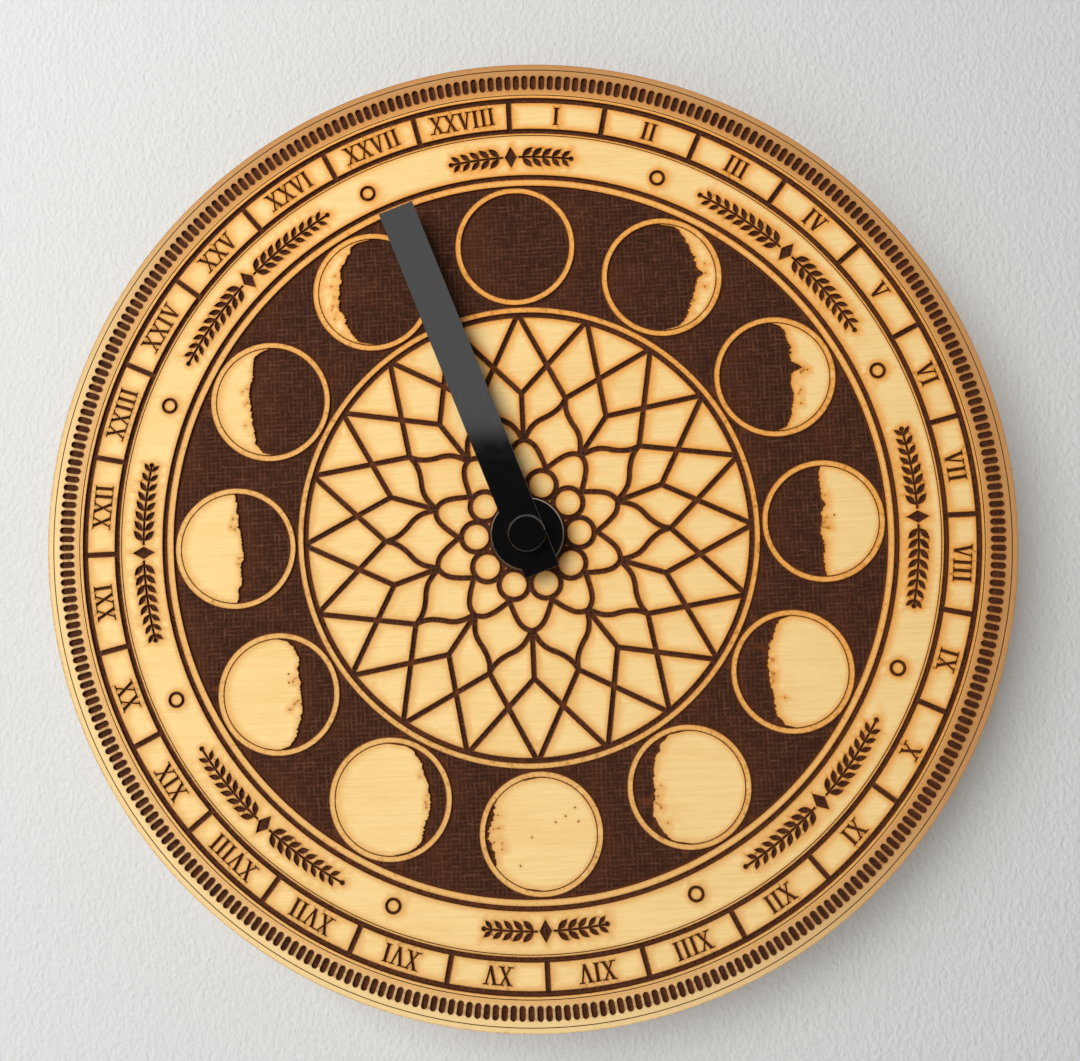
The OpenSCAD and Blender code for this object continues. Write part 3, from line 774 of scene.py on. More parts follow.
MOONS = (
    None,
    MoonFace(0.62, 1, ((0.03, 0.12, 0.07),)),
    MoonFace(0.33, 1, ((0.16, 0.17, 0.07),)),
    MoonFace(-0.04, 1, ((0.3, 0.1, 0.1),), ((0.2, 0.1),)),
    MoonFace(-0.42, 1),
    MoonFace(-0.68, 1),
    MoonFace(
        -0.985,
        1,
        ((0.35, 0.1, 0.3), (-0.3, 0.08, 0.16)),
        ((0.27, 0.2), (0.45, 0.3), (0.63, 0.45), (0.68, 0.2), (-0.17, -0.05), (-0.4, -0.55)),
    ),
    MoonFace(0.7, -1),
    MoonFace(0.42, -1, ((-0.1, 0.03, 0.2),), ((0.19, 0.36), (0.19, 0.2))),
    MoonFace(0.1, -1),
    MoonFace(-0.38, -1),
    MoonFace(-0.62, -1),
)


class DialPicture:
    """Lays out everything that is engraved on the dial."""

    STAR_WAVE: Outline = [
        (0, 36.6), (-0.6, 34.6), (-1.75, 32.7), (-3.3, 31),
        (-4.9, 29.6), (-6.15, 28), (-6.9, 26.2), (-7.3, 24.4),
    ]
    STAR_EGG: Outline = [(-7.4, 23.5), (-6, 23.4), (-4.4, 22.7), (-2.75, 21.2), (-1.1, 19.2), (0.1, 17.6)]
    # Half the width of each garland in degrees, by its place
    GARLANDS = {0: 9.6, 45: 16.0, 90: 13.6, 135: 14.8, 180: 9.4, 225: 14.8, 270: 13.6, 315: 16.0}

    def __init__(self, size: DialSize):
        self.size = size
        self.repeat = RingRepeat()
        self.art = Artwork()

    def draw(self) -> Artwork:
        """Paints the whole picture.

        Returns:
            The outlines in order.
        """
        self.rim()
        self.day_cells()
        self.garland_band()
        self.moon_band()
        self.star()
        self.art.groove(Level.CUT, *self.size.hub_groove)
        self.art.rings((self.size.hole_radius, Level.HOLE))
        return self.art

    def disc_row(
        self, pitch: float, count: int, start: float, steps: int, *discs: tuple[float, Level]
    ) -> None:
        """Repeats discs round the arbor, each painted over the one before."""
        for radius, level in discs:
            self.art.paint(level, *self.repeat.spread([disc(radius, (0.0, pitch), steps)], count, start))

    def rim(self) -> None:
        """The outer band with its notches and scored lines."""
        s, art = self.size, self.art
        art.rings((s.radius, Level.LAND))
        art.groove(Level.SCORE, *s.rim_line)
        half = s.notch_width / 2
        ends = [(s.notch_out - half, 1), (s.notch_in + half, -1)]
        notch = [
            (side * half * math.cos(math.pi * k / 6), y + side * half * math.sin(math.pi * k / 6))
            for y, side in ends
            for k in range(7)
        ]
        art.paint(Level.CUT, *self.repeat.spread([notch], s.notches))
        art.groove(Level.SCORE, *s.notch_line)

    def day_cells(self) -> None:
        """The numbered cells between two grooves."""
        s, art = self.size, self.art
        art.groove(Level.CUT, *s.cell_out_groove)
        divider = strip((0.0, s.cell_in), (0.0, s.cell_out), s.divider_width, 0.0)
        art.paint(Level.CUT, *self.repeat.spread([divider], s.cells))
        for k in range(s.cells):
            angle = (k + 0.5) * 360 / s.cells
            for outline in Numeral(k + 1).outlines():
                art.paint(Level.CUT, turned(moved(outline, 0.0, s.numeral_radius), angle))
        art.groove(Level.CUT, *s.cell_in_groove)
        art.groove(Level.SCORE, *s.label_line)

    def garland_band(self) -> None:
        """Eight leaf garlands, with a small ring between each two."""
        s = self.size
        outer, inner = s.small_ring
        between = 180 / s.labels
        self.disc_row(s.small_ring_pitch, s.labels, between, 24, (outer, Level.CUT), (inner, Level.LAND))
        for angle, half_width in self.GARLANDS.items():
            for outline in self.garland(half_width):
                self.art.paint(Level.CUT, turned(outline, angle))

    def garland(self, half_width: float) -> list[Outline]:
        """A garland at the top of the dial: a lozenge, a stem and paired leaves to each side."""
        reach = math.radians(half_width) * self.size.label_pitch
        shapes = [[(-1.6, 0.0), (0.0, -2.9), (1.6, 0.0), (0.0, 2.9)]]
        for side in (-1, 1):
            stem = [(2.0 + (reach - 3.4) * k / 12, 0.28) for k in range(13)]
            stem += [(x, -y) for x, y in reversed(stem)]
            shapes.append([(side * x, y) for x, y in stem])
            place = 3.0
            while place < reach - 2.4:
                taper = 1.0 - 0.35 * (place / reach) ** 2
                for up in (-1, 1):
                    leaf = self.leaf(3.7 * taper, 1.6 * taper)
                    leaf = moved(turned(leaf, 48), place, 0.2)
                    shapes.append([(side * x, up * y) for x, y in leaf])
                place += 2.6
            shapes.append([(side * (reach - 0.8) + x, y) for x, y in disc(0.65, steps=10)])
        return [self.bend(shape) for shape in shapes]

    @staticmethod
    def leaf(length: float, width: float) -> Outline:
        """A pointed leaf that stands on the origin."""
        side = [(width / 2 * math.sin(math.pi * k / 6), length * k / 6) for k in range(7)]
        return side + [(-x, y) for x, y in reversed(side[1:-1])]

    def bend(self, shape: Outline) -> Outline:
        """Wraps a shape along the band."""
        pitch = self.size.label_pitch
        return [((pitch + y) * math.sin(x / pitch), (pitch + y) * math.cos(x / pitch)) for x, y in shape]

    def moon_band(self) -> None:
        """The sunk field with its twelve moons."""
        s, art = self.size, self.art
        art.groove(Level.CUT, *s.label_groove)
        art.rings((s.field_out, Level.CUT))
        rings = ((s.moon_outer, Level.LAND), (s.moon_inner, Level.CUT))
        self.disc_row(s.moon_pitch, s.moons, 0.0, 72, *rings)
        for k, moon in enumerate(MOONS):
            if moon is None:
                continue
            seed = k * SEED_STEP
            middle = on_circle(s.moon_pitch, k * 360 / s.moons)
            lit = moon.lit_outline(s.moon_lit, seed)
            wider = [(x * s.moon_inner / s.moon_lit, y * s.moon_inner / s.moon_lit) for x, y in lit]
            art.paint(Level.SCORE, moved(wider, *middle))
            art.paint(Level.LAND, moved(lit, *middle))
            for level, mark in moon.marks(s.moon_lit, seed):
                art.paint(level, moved(mark, *middle))
        art.rings((s.field_in, Level.LAND))
        art.groove(Level.CUT, *s.flower_groove)

    def star(self) -> None:
        """The pattern of crossing strokes, waved petals and beads."""
        s, art, w = self.size, self.art, self.size.stroke
        step = 180 / s.petals
        tip = on_circle(s.star_tip, 0)
        ray = []
        for side in (-1, 1):
            node = on_circle(s.star_node, side * step)
            near = tuple(t + 0.03 * (n - t) for t, n in zip(tip, node))
            ray.append(strip(near, node, w))
        art.paint(Level.CUT, *self.repeat.spread(ray, 2 * s.petals))
        petal = [strip(on_circle(s.petal_top, step), on_circle(s.star_node, step), w)]
        for side in (-1, 1):
            for chain in (self.STAR_WAVE, self.STAR_EGG):
                petal.append(self.ribbon([(side * x, y) for x, y in chain], w))
        art.paint(Level.CUT, *self.repeat.spread(petal, s.petals, step))
        rings = ((s.bead_radius + w / 2, Level.CUT), (s.bead_radius - w / 2, Level.LAND))
        self.disc_row(s.bead_pitch, s.petals, step, 36, *rings)

    @staticmethod
    def ribbon(chain: Outline, width: float) -> Outline:
        """A smooth band of even width along a chain of points."""
        points = [Vector(p) for p in chain]
        fine = []
        for k in range(len(points) - 1):
            a, b = points[k], points[k + 1]
            before = points[k - 1] if k else a * 2 - b
            after = points[k + 2] if k + 2 < len(points) else b * 2 - a
            for t in (0.0, 0.34, 0.67):
                fine.append(
                    0.5 * (2 * a + (b - before) * t + (2 * before - 5 * a + 4 * b - after) * t * t
                           + (3 * a - before - 3 * b + after) * t ** 3)
                )
        fine.append(points[-1])
        fine[0] = fine[0] - (fine[1] - fine[0]).normalized() * width * 0.3
        fine[-1] = fine[-1] + (fine[-1] - fine[-2]).normalized() * width * 0.3
        left, right = [], []
        for k, p in enumerate(fine):
            along = (fine[min(k + 1, len(fine) - 1)] - fine[max(k - 1, 0)]).normalized()
            side = Vector((-along.y, along.x)) * width / 2
            left.append(tuple(p + side))
            right.append(tuple(p - side))
        return left + right[::-1]


# Dial mesh


class Part(IntEnum):
    """Numbers of the plate's finishes."""

    FACE = 0
    FLOOR = 1
    STEP = 2
    SCORE = 3
    EDGE = 4
    BACK = 5


class PlateMesh:
    """Cuts an artwork into a flat plate as steps with upright walls.

    OFFSETS and FLOOR_OFFSETS are (distance from the border, spacing) of the guide points on the face and in
    the cut, in millimetres. SAMPLE is the step along a border at which distances to it are taken.
    """

    OUTSIDE = -1
    PARTS = {Level.LAND.value: Part.FACE, Level.SCORE.value: Part.SCORE, Level.CUT.value: Part.FLOOR}
    SAMPLE = 0.3
    OFFSETS = ((0.35, 0.9), (0.8, 1.2), (1.5, 1.9), (2.4, 2.6))
    FLOOR_OFFSETS = ((0.6, 1.6),)
    # Share of its offset that a guide keeps from every border, and its least distance from the rim
    CLEARANCE = 0.93
    RIM_MARGIN = 0.3
    # How far the smoke drifts, and how much farther off a scored line counts than a cut one
    DRIFT = 0.35
    SCORE_START = 0.7
    SCORE_FADE = 1.5
    FARTHEST = 6.0

    def __init__(self, size: DialSize, art: Artwork):
        self.size = size
        self.art = art
        self.depths = {Level.LAND: 0.0, Level.SCORE: size.scored, Level.CUT: size.engraved}

    def triangulate(self, extra: np.ndarray) -> tuple[np.ndarray, np.ndarray, np.ndarray]:
        """Splits the picture into triangles.

        Args:
            extra: Further points to pass through.

        Returns:
            Points, triangles and the level of each triangle.
        """
        coords = [Vector(p) for outline in self.art.outlines for p in outline]
        starts = np.cumsum([0] + [len(o) for o in self.art.outlines])
        faces = [list(range(a, b)) for a, b in zip(starts[:-1], starts[1:])]
        coords += [Vector(p) for p in extra]
        points, _, triangles, _, _, owners = delaunay_2d_cdt(coords, [], faces, 1, TINY, True)
        levels = np.array([self.art.levels[max(own)].value for own in owners])
        kept = levels != Level.HOLE.value
        return np.array([tuple(p) for p in points]), np.array(triangles)[kept], levels[kept]

    @staticmethod
    def borders(triangles: np.ndarray, levels: np.ndarray) -> list[tuple[int, int, int, int]]:
        """Edges between two levels, as (start, end, own level, other level) seen from the higher side.

        The other level is OUTSIDE at the plate's own edges.
        """
        starts = triangles.ravel()
        ends = np.roll(triangles, -1, axis=1).ravel()
        own = np.repeat(levels, 3)
        other = {}
        for a, b, level in zip(starts.tolist(), ends.tolist(), own.tolist()):
            other[(a, b)] = level
        result = []
        for (a, b), level in other.items():
            across = other.get((b, a), PlateMesh.OUTSIDE)
            if across == PlateMesh.OUTSIDE or across > level:
                result.append((a, b, level, across))
        return result

    def samples(self, points: np.ndarray, borders: list) -> tuple[KDTree, KDTree]:
        """Trees of points along the deep borders and along the scored lines."""
        deep, line = [], []
        for a, b, level, across in borders:
            target = line if across == Level.SCORE.value else deep
            start, end = points[a], points[b]
            count = max(1, int(np.hypot(*(end - start)) / self.SAMPLE))
            for k in range(count):
                target.append(start + (end - start) * ((k + 0.5) / count))
            target.append(start)
        trees = []
        for places in (deep, line):
            tree = KDTree(len(places))
            for k, p in enumerate(places):
                tree.insert((p[0], p[1], 0.0), k)
            tree.balance()
            trees.append(tree)
        return trees[0], trees[1]

    def guides(self, points: np.ndarray, borders: list, deep: KDTree) -> np.ndarray:
        """Points beside the borders that carry how near the burnt edge is."""
        chosen = []
        for offsets, on_face in ((self.OFFSETS, True), (self.FLOOR_OFFSETS, False)):
            sign = -1 if on_face else 1
            for offset, spacing in offsets:
                cells = {}
                for a, b, level, across in borders:
                    if on_face and level != Level.LAND.value:
                        continue
                    if not on_face and across != Level.CUT.value:
                        continue
                    start, end = points[a], points[b]
                    along = end - start
                    length = float(np.hypot(*along))
                    if length < TINY:
                        continue
                    right = np.array((along[1], -along[0])) / length * sign * offset
                    count = math.ceil(length / spacing)
                    for k in range(count):
                        p = start + along * ((k + 0.5) / count) + right
                        key = (round(p[0] / spacing), round(p[1] / spacing))
                        if key in cells or np.hypot(*p) > self.size.radius - self.RIM_MARGIN:
                            continue
                        if deep.find((p[0], p[1], 0.0))[2] >= offset * self.CLEARANCE:
                            cells[key] = p
                chosen += cells.values()
        return np.array(chosen)

    def build(self, name: str) -> bpy.types.Object:
        """Makes the plate.

        Args:
            name: Name of the new object.

        Returns:
            The plate, at its place in the row frame.
        """
        points, triangles, levels = self.triangulate(np.zeros((0, 2)))
        borders = self.borders(triangles, levels)
        deep, line = self.samples(points, borders)
        extra = self.guides(points, borders, deep)
        LOG.info("dial: %d points, %d borders, %d guides", len(points), len(borders), len(extra))
        points, triangles, levels = self.triangulate(extra)
        borders = self.borders(triangles, levels)
        verts: list[tuple[float, float, float]] = []
        edge: list[float] = []
        index: dict[tuple[int, int], int] = {}
        depths = {level.value: self.size.front - depth for level, depth in self.depths.items()}
        depths[self.OUTSIDE] = self.size.back

        def vertex(point: int, level: int) -> int:
            key = (point, level)
            if key not in index:
                index[key] = len(verts)
                x, y = points[point]
                verts.append(to_world([(x, y)], depths[level])[0])
                edge.append(self.scorch_distance((x, y, 0.0), deep, line))
            return index[key]

        faces, kinds = [], []
        for triangle, level in zip(triangles.tolist(), levels.tolist()):
            faces.append([vertex(p, level) for p in triangle])
            kinds.append(self.PARTS[level])
        for a, b, level, across in borders:
            if across == self.OUTSIDE:
                faces.append([vertex(a, level), vertex(a, across), vertex(b, across), vertex(b, level)])
                kinds.append(Part.EDGE)
                continue
            wall = [vertex(a, level)]
            full = level == Level.LAND.value and across == Level.CUT.value
            half_way = Level.SCORE.value
            if full and (a, half_way) in index:
                wall.append(index[(a, half_way)])
            wall += [vertex(a, across), vertex(b, across)]
            if full and (b, half_way) in index:
                wall.append(index[(b, half_way)])
            faces.append(wall + [vertex(b, level)])
            kinds.append(Part.STEP)
        self.close_back(points, borders, index, faces, kinds)
        mesh = bpy.data.meshes.new(name)
        mesh.from_pydata(verts, [], faces)
        burnt = mesh.attributes.new("edge_mm", "FLOAT", "POINT")
        burnt.data.foreach_set("value", np.array(edge, dtype=np.float32))
        for finish in (FACE, FLOOR, STEP, SCORE, PLIES, BACK):
            mesh.materials.append(finish.material())
        mesh.polygons.foreach_set("material_index", np.array(kinds, dtype=np.int32))
        obj = bpy.data.objects.new(name, mesh)
        bpy.context.scene.collection.objects.link(obj)
        LOG.info("dial: %d faces", len(faces))
        return obj

    def scorch_distance(self, place: tuple[float, float, float], deep: KDTree, line: KDTree) -> float:
        """Distance to the burnt edge in millimetres, shorter downwind of the smoke and by scored lines."""
        found, _, distance = deep.find(place)
        drift = (place[0] - found.x) / max(distance, TINY)
        scored = self.SCORE_START + self.SCORE_FADE * line.find(place)[2]
        return min(distance * (1.0 - self.DRIFT * drift), scored, self.FARTHEST)

    def close_back(
        self, points: np.ndarray, borders: list, index: dict, faces: list, kinds: list
    ) -> None:
        """Adds the back of the plate between its outer edge and its hole."""
        rim = {a: b for a, b, _, across in borders if across == self.OUTSIDE}
        loops = []
        while rim:
            here = next(iter(rim))
            loop = []
            while here in rim:
                loop.append(here)
                here = rim.pop(here)
            loops.append(loop if signed_area([tuple(points[p]) for p in loop]) > 0 else loop[::-1])
        loops.sort(key=len, reverse=True)
        order = [p for loop in loops for p in loop]
        sides = np.cumsum([0] + [len(loop) for loop in loops])
        shapes = [list(range(a, b)) for a, b in zip(sides[:-1], sides[1:])]
        coords = [Vector(points[p]) for p in order]
        _, _, triangles, sources, _, owners = delaunay_2d_cdt(coords, [], shapes, 1, TINY, True)
        for triangle, own in zip(triangles, owners):
            if max(own) == 0:
                faces.append([index[(order[sources[p][0]], self.OUTSIDE)] for p in reversed(triangle)])
                kinds.append(Part.BACK)


# General piece makers


def link(name: str, mesh: bpy.types.Mesh, *finishes: Finish) -> bpy.types.Object:
    """Puts a mesh with its finishes in the scene."""
    for finish in finishes:
        mesh.materials.append(finish.material())
    obj = bpy.data.objects.new(name, mesh)
    bpy.context.scene.collection.objects.link(obj)
    return obj


def smooth(mesh: bpy.types.Mesh, degrees: float = 16.0) -> None:
    """Shades a mesh smooth, but for edges sharper than an angle."""
    mesh.polygons.foreach_set("use_smooth", [True] * len(mesh.polygons))
    mesh.set_sharp_from_angle(angle=math.radians(degrees))


@dataclass
class Lathe:
    """A turned piece. Each step of the profile is (radius, height, finish number of the band to the next)."""

    profile: list[tuple[float, float, int]]
    steps: int = 96

    def build(self, name: str, frame: Matrix, *finishes: Finish) -> bpy.types.Object:
        """Turns the profile about the frame's z axis.

        Args:
            name: Name of the new object.
            frame: Place of the axis in the row frame, in metres, for a profile in millimetres.
            finishes: What the finish numbers stand for.

        Returns:
            The closed piece.
        """
        verts, rings = [], []
        for radius, height, _ in self.profile:
            count = self.steps if radius > TINY else 1
            rings.append(list(range(len(verts), len(verts) + count)))
            for k in range(count):
                a = 2 * math.pi * k / self.steps
                corner = Vector((radius * math.cos(a) * MM, radius * math.sin(a) * MM, height * MM))
                verts.append(frame @ corner)
        faces, kinds = [], []
        closed = self.profile[0][0] > TINY
        pairs = list(zip(range(len(rings)), list(range(1, len(rings))) + ([0] if closed else [])))
        for low, high in pairs:
            for k in range(self.steps):
                n = (k + 1) % self.steps
                a, b = rings[low], rings[high]
                if len(a) == 1 and len(b) == 1:
                    continue
                face = [a[k % len(a)], a[n % len(a)], b[n % len(b)], b[k % len(b)]]
                faces.append(list(dict.fromkeys(face)))
                kinds.append(self.profile[low][2])
        mesh = bpy.data.meshes.new(name)
        mesh.from_pydata(verts, [], faces)
        mesh.polygons.foreach_set("material_index", kinds)
        shape = bmesh.new()
        shape.from_mesh(mesh)
        bmesh.ops.recalc_face_normals(shape, faces=shape.faces)
        shape.to_mesh(mesh)
        shape.free()
        smooth(mesh)
        return link(name, mesh, *finishes)


def arbor_frame() -> Matrix:
    """An axis on the arbor that points from the wall to the viewer."""
    return Matrix.Translation((0.0, 0.0, ARBOR_Z * MM)) @ Matrix.Rotation(math.radians(90), 4, "X")


# Distance in millimetres of the loop that keeps a flat face flat beside a rounded edge
SUPPORT = 0.1


def rounded(radius: float, low: float, high: float, bore: float, edge: float, face: int, side: int) -> list:
    """The profile of a flat ring with rounded outer edges."""
    turns = [math.radians(a) for a in (90, 67, 45, 22, 0)]
    arc = [(radius - edge * (1 - math.cos(a)), edge * (1 - math.sin(a))) for a in turns]
    lower = [(r, low + rise, side) for r, rise in arc]
    upper = [(r, high - rise, side) for r, rise in reversed(arc)]
    inner = radius - edge - SUPPORT
    return [(bore, low, face), (inner, low, side), *lower, *upper, (inner, high, face), (bore, high, face)]


def cad_copy(frame: dict, node: str, bevel_mm: float, *finishes: Finish) -> bpy.types.Object:
    """A finished copy of a CAD node with its outer edges broken.

    Args:
        node: Name of the CAD node.
        bevel_mm: Width of the bevel.
        finishes: Its finishes.

    Returns:
        The copy, in place.
    """
    mesh = frame["nodes"][node].data.copy()
    mesh.materials.clear()
    shape = bmesh.new()
    shape.from_mesh(mesh)
    bmesh.ops.remove_doubles(shape, verts=shape.verts, dist=TINY)
    bmesh.ops.dissolve_limit(
        shape, angle_limit=math.radians(0.5), verts=shape.verts, edges=shape.edges, delimit={"NORMAL"}
    )
    if bevel_mm:
        sharp = [e for e in shape.edges if e.is_manifold and e.calc_face_angle(0.0) > math.radians(40)]
        bmesh.ops.bevel(
            shape,
            geom=sharp,
            offset=bevel_mm * MM,
            segments=2,
            profile=0.5,
            affect="EDGES",
            clamp_overlap=True,
        )
    bmesh.ops.triangulate(shape, faces=[f for f in shape.faces if len(f.verts) > 4])
    shape.to_mesh(mesh)
    shape.free()
    smooth(mesh)
    return link("look_" + node, mesh, *finishes)


# Sub-assemblies


class Assembly:
    """Pieces that ride on one or more bodies of the frame."""

    def __init__(self, frame: dict):
        self.frame = frame
        self.pieces: list[tuple[bpy.types.Object, str, str, tuple[str, ...]]] = []

    def hold(self, obj: bpy.types.Object, body: str, slot: str, *nodes: str) -> bpy.types.Object:
        """Notes which body a piece rides on, its slot and the CAD nodes it stands for."""
        self.pieces.append((obj, body, slot, nodes))
        return obj

    def build(self) -> None:
        """Makes the pieces."""
        raise NotImplementedError

    def dress(self) -> None:
        """Hands every piece to the frame."""
        for obj, body, slot, nodes in self.pieces:
            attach(obj, body)
            if nodes:
                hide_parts(*nodes)


class Dial(Assembly):
    """The engraved plywood disc."""

    size = DialSize()

    def build(self) -> None:
        """Makes the disc."""
        art = DialPicture(self.size).draw()
        plate = PlateMesh(self.size, art).build("engraved_dial")
        self.hold(plate, "clock_body", "birch_ply", "dial_plate")


@dataclass(frozen=True)
class HandSize:
    """Sizes of the hand in millimetres, with depths from the wall."""

    tube: float = 2.55
    hub_radius: float = 9.3
    hub_back: float = 25.0
    bar_back: float = 25.6
    bar_front: float = 26.2
    cap_radius: float = 4.75
    cap_front: float = 29.8
    cap_round: float = 0.55
    cap_chamfer: float = 0.12
    stem_radius: float = 1.55
    stem_back: float = 23.2


class Hand(Assembly):
    """The hand with its hub, collet and cap."""

    size = HandSize()

    def build(self) -> None:
        """Makes the four pieces."""
        s = self.size
        bar = cad_copy(self.frame, "moon_hand", 0.09, LACQUER, BARE_EDGE)
        for face in bar.data.polygons:
            face.material_index = 1 if abs(face.normal.y) < 0.5 else 0
        self.hold(bar, "hand_set", "hand_black", "moon_hand")
        ring = rounded(s.hub_radius, s.hub_back, s.bar_back, s.tube, 0.2, 0, 1)
        hub = Lathe(ring, 128).build("hub_disc", arbor_frame(), LACQUER, BARE_EDGE)
        self.hold(hub, "hand_set", "hand_black", "hub_plate")
        collet = cad_copy(self.frame, "hand_collet", 0.08, STEEL)
        self.hold(collet, "hand_set", "bright_steel", "hand_collet")
        corner = [
            (
                s.cap_radius - s.cap_round * (1 - math.cos(math.radians(a))),
                s.cap_front - s.cap_round * (1 - math.sin(math.radians(a))),
                0,
            )
            for a in (0, 18, 36, 54, 72, 90)
        ]
        profile = [
            (0.0, s.stem_back, 0),
            (s.stem_radius, s.stem_back, 0),
            (s.stem_radius, s.bar_front, 0),
            (s.cap_radius - s.cap_chamfer, s.bar_front, 0),
            (s.cap_radius, s.bar_front + s.cap_chamfer, 0),
            *corner,
            (s.cap_radius - s.cap_round - s.cap_chamfer, s.cap_front, 0),
            (0.0, s.cap_front, 0),
        ]
        cap = Lathe(profile).build("centre_cap_look", arbor_frame(), CAP_BLACK)
        self.hold(cap, "hand_set", "cap_black", "centre_cap")


class Fastening(Assembly):
    """Nut, washer, gasket and bush that hold the dial to the movement."""

    def build(self) -> None:
        """Makes the four pieces."""
        for node, bevel, slot, finish in (
            ("hex_nut", 0.25, "brass_parts", BRASS),
            ("flat_washer", 0.08, "brass_parts", BRASS),
            ("rubber_gasket", 0.12, "gasket_rubber", RUBBER),
            ("threaded_bush", 0.0, "brass_parts", BRASS),
        ):
            self.hold(cad_copy(self.frame, node, bevel, finish), "clock_body", slot, node)


@dataclass(frozen=True)
class CellSize:
    """Sizes of the battery cell in millimetres."""

    left: float = -26.35
    up: float = -19.2
    depth: float = 7.5
    radius: float = 7.25
    length: float = 50.5
    nipple_radius: float = 2.7
    nipple: float = 1.2
    band_low: float = 15.0
    band_high: float = 16.6


class Power(Assembly):
    """The cell and its contacts."""

    size = CellSize()

    def build(self) -> None:
        """Makes the cell and both contacts."""
        s = self.size
        profile = [
            (0.0, 0.0, 1),
            (s.nipple_radius - 0.25, 0.0, 1),
            (s.nipple_radius, 0.25, 1),
            (s.nipple_radius, s.nipple, 1),
            (s.radius - 1.1, s.nipple, 1),
            (s.radius - 0.7, s.nipple + 0.25, 0),
            (s.radius - 0.35, s.nipple + 0.15, 0),
            (s.radius, s.nipple + 0.5, 0),
            (s.radius, s.band_low, 2),
            (s.radius, s.band_high, 0),
            (s.radius, s.length - 0.5, 0),
            (s.radius - 0.4, s.length - 0.1, 0),
            (s.radius - 0.8, s.length - 0.25, 1),
            (s.radius - 1.2, s.length, 1),
            (0.0, s.length, 1),
        ]
        place = Matrix.Translation(to_world([(s.left, s.up)], s.depth)[0])
        axis = place @ Matrix.Rotation(math.radians(90), 4, "Y")
        cell = Lathe(profile, 72).build("cell", axis, SLEEVE, STEEL, BAND)
        self.hold(cell, "clock_body", "cell_sleeve", "battery_cell")
        for node in ("positive_contact", "negative_contact"):
            self.hold(cad_copy(self.frame, node, 0.05, STEEL), "clock_body", "bright_steel", node)


class Movement(Assembly):
    """The case, its cover and the setting knob, with everything inside left as the frame has it."""

    INNER = {
        "train_bridge": ACETAL,
        "moon_wheel": ACETAL,
        "clutch_arbor": STEEL,
        "clutch_wheel": ACETAL,
        "clutch_spring": BRASS,
        "third_wheel": ACETAL,
        "second_wheel": ACETAL,
        "first_wheel": ACETAL,
        "rotor_pinion": ACETAL,
        "rotor_magnet": MAGNET,
        "stator": STEEL,
        "coil_core": STEEL,
        "coil_bobbin": ACETAL,
        "coil_winding": COPPER,
        "circuit_board": BOARD,
        "driver_chip": POTTING,
        "quartz_crystal": STEEL,
        "setting_arbor": ACETAL,
    }

    def build(self) -> None:
        """Makes the outer pieces and paints the inner ones."""
        for node, bevel, slot, finish, body in (
            ("front_case", 0.25, "case_plastic", CASE, "clock_body"),
            ("rear_cover", 0.2, "case_plastic", CASE, "clock_body"),
            ("setting_knob", 0.12, "knob_plastic", KNOB, "setting_shaft"),
        ):
            self.hold(cad_copy(self.frame, node, bevel, finish), body, slot, node)
        for node, finish in self.INNER.items():
            mesh = self.frame["nodes"][node].data
            mesh.materials.clear()
            mesh.materials.append(finish.material())


# Stage


@dataclass(frozen=True)
class StageSize:
    """Sizes of the room in metres."""

    wall_back: float = 0.0004
    span: float = 3.0
    floor_height: float = -0.7


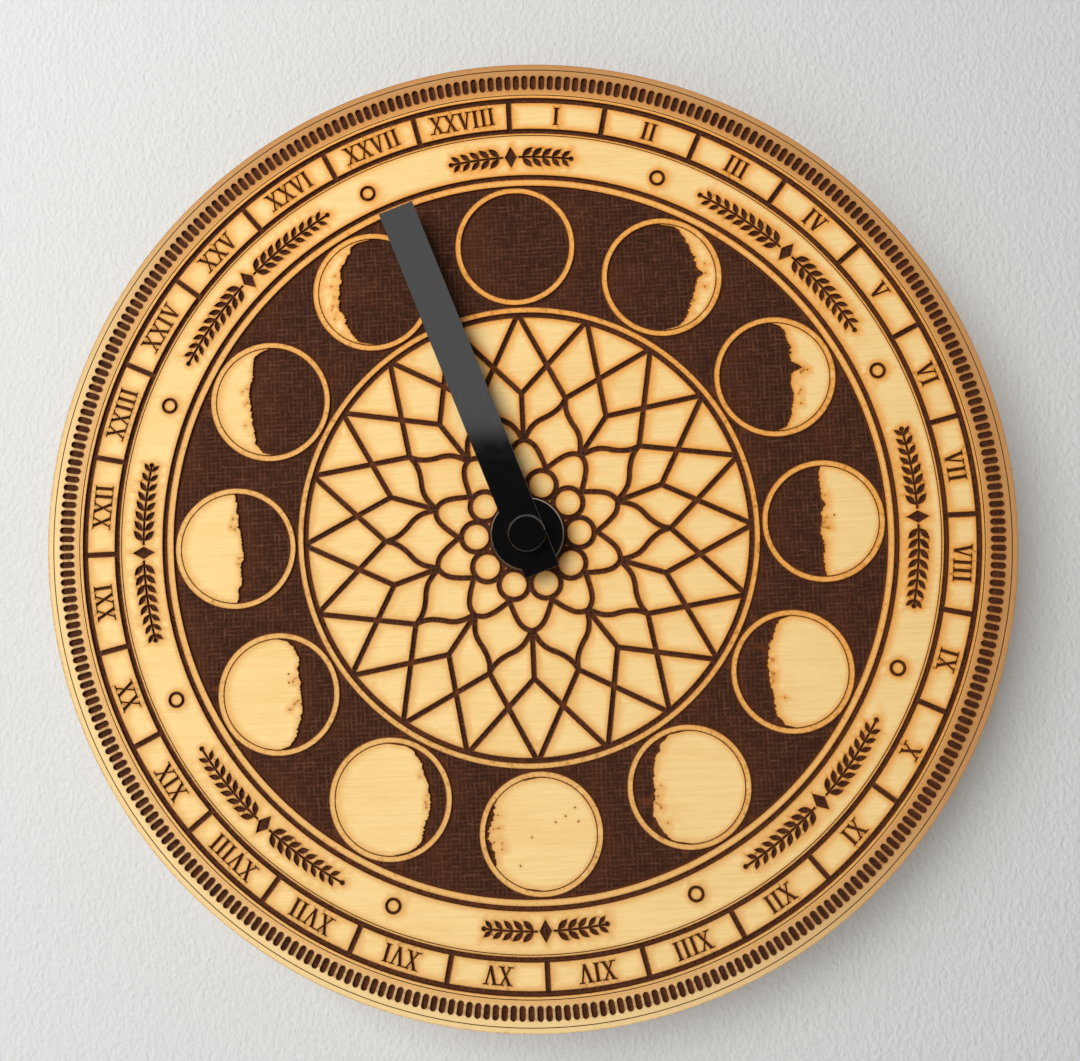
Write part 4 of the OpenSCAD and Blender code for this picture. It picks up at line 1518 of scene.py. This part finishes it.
class Stage:
    """The white wall, a pale floor and soft studio light."""

    size = StageSize()

    def build(self) -> None:
        """Makes the stage."""
        s = self.size
        half = s.span / 2
        square = [(-half, -half), (half, -half), (half, half), (-half, half)]
        wall = self.plane("wall", [(a, s.wall_back, b) for a, b in square], WALL)
        wall.visible_shadow = False
        floor = self.plane("floor", [(a, b, s.floor_height) for a, b in square], PALE_FLOOR)
        lamps = [
            self.lamp("key", (-0.52, -0.84, 0.36), (0.0, -0.02, -0.05), 0.7, 9.9, (1.0, 0.985, 0.955)),
            self.lamp("low_fill", (-0.62, -0.7, -0.3), (-0.08, -0.02, -0.06), 0.5, 1.5, (0.96, 0.98, 1.0)),
            self.lamp("back_fill", (0.5, 0.75, 0.5), (0.0, 0.0, -0.03), 0.8, 4.4, (1.0, 1.0, 1.0)),
            self.lamp("back_low", (-0.6, 0.7, -0.3), (0.0, 0.0, -0.03), 0.6, 2.2, (1.0, 1.0, 1.0)),
        ]
        self.world()

    @staticmethod
    def plane(name: str, corners: list, finish: Finish) -> bpy.types.Object:
        """A flat sheet of the stage."""
        mesh = bpy.data.meshes.new(name)
        mesh.from_pydata(corners, [], [(0, 1, 2, 3)])
        return link(name, mesh, finish)

    @staticmethod
    def lamp(
        name: str, place: tuple, target: tuple, size: float, power: float, color: tuple
    ) -> bpy.types.Object:
        """A square soft lamp that looks at a point."""
        data = bpy.data.lights.new(name, "AREA")
        data.size, data.energy, data.color = size, power, color
        obj = bpy.data.objects.new(name, data)
        obj.location = place
        obj.rotation_euler = (Vector(target) - Vector(place)).to_track_quat("-Z", "Y").to_euler()
        obj.visible_glossy = False
        bpy.context.scene.collection.objects.link(obj)
        return obj

    @staticmethod
    def world() -> None:
        """Even light all round, with a brighter upper half for what the gloss black reflects."""
        world = bpy.data.worlds.new("room")
        bpy.context.scene.world = world
        world.use_nodes = True
        tree = world.node_tree
        tree.nodes.clear()
        new, join = tree.nodes.new, tree.links.new
        place, split = new("ShaderNodeTexCoord"), new("ShaderNodeSeparateXYZ")
        ramp, path = new("ShaderNodeMapRange"), new("ShaderNodeLightPath")
        even, seen = new("ShaderNodeBackground"), new("ShaderNodeBackground")
        mix, out = new("ShaderNodeMixShader"), new("ShaderNodeOutputWorld")
        ramp.interpolation_type = "SMOOTHSTEP"
        for key, value in (("From Min", 0.15), ("From Max", 0.18), ("To Min", 0.03), ("To Max", 1.5)):
            ramp.inputs[key].default_value = value
        even.inputs[0].default_value = (0.98, 0.99, 1.0, 1.0)
        even.inputs[1].default_value = 0.2
        seen.inputs[0].default_value = (1.0, 0.985, 0.985, 1.0)
        join(place.outputs["Generated"], split.inputs[0])
        join(split.outputs[2], ramp.inputs["Value"])
        join(ramp.outputs[0], seen.inputs[1])
        join(path.outputs["Is Glossy Ray"], mix.inputs[0])
        join(even.outputs[0], mix.inputs[1])
        join(seen.outputs[0], mix.inputs[2])
        join(mix.outputs[0], out.inputs[0])


@dataclass(frozen=True)
class CameraFit:
    """The camera found from the photo: its place, its axes and its focal length."""

    place_mm: tuple[float, float, float] = (7.41, -254.23, -45.49)
    roll: float = 2.7
    right: tuple[float, float, float] = (0.99978326, -0.00117957, 0.02078538)
    down: tuple[float, float, float] = (0.0, 0.99839359, 0.05665898)
    ahead: tuple[float, float, float] = (-0.02081883, -0.0566467, 0.9981772)
    focal: float = 906.7
    width: int = 1080

    def direction(self, axis: tuple[float, float, float], sign: float = 1.0) -> Vector:
        """An axis of the photo (right, down, into the wall) in the row frame."""
        right, down, ahead = (sign * a for a in axis)
        c, s = math.cos(math.radians(self.roll)), math.sin(math.radians(self.roll))
        return Vector((right * c - down * s, ahead, -right * s - down * c))

    def build(self) -> None:
        """Adds the camera and makes it the scene's."""
        data = bpy.data.cameras.new("photo_view")
        data.sensor_width = 36.0
        data.lens = 36.0 * self.focal / self.width
        data.clip_start, data.clip_end = 0.005, 20.0
        axes = (self.direction(self.right), self.direction(self.down, -1.0), self.direction(self.ahead, -1.0))
        obj = bpy.data.objects.new("photo_view", data)
        turn = Matrix(axes).transposed().to_4x4()
        obj.matrix_world = Matrix.Translation([c * MM for c in self.place_mm]) @ turn
        bpy.context.scene.collection.objects.link(obj)
        bpy.context.scene.camera = obj


def main() -> None:
    """Builds the clock and its stage."""
    logging.basicConfig(level=logging.INFO)
    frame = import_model()
    for kind in (Dial, Hand, Fastening, Power, Movement):
        part = kind(frame)
        part.build()
        part.dress()
        LOG.info("%s: %d pieces", kind.__name__, len(part.pieces))
    Stage().build()
    CameraFit().build()
    bpy.context.scene.view_settings.view_transform = "Standard"


if __name__ == "__main__":
    main()
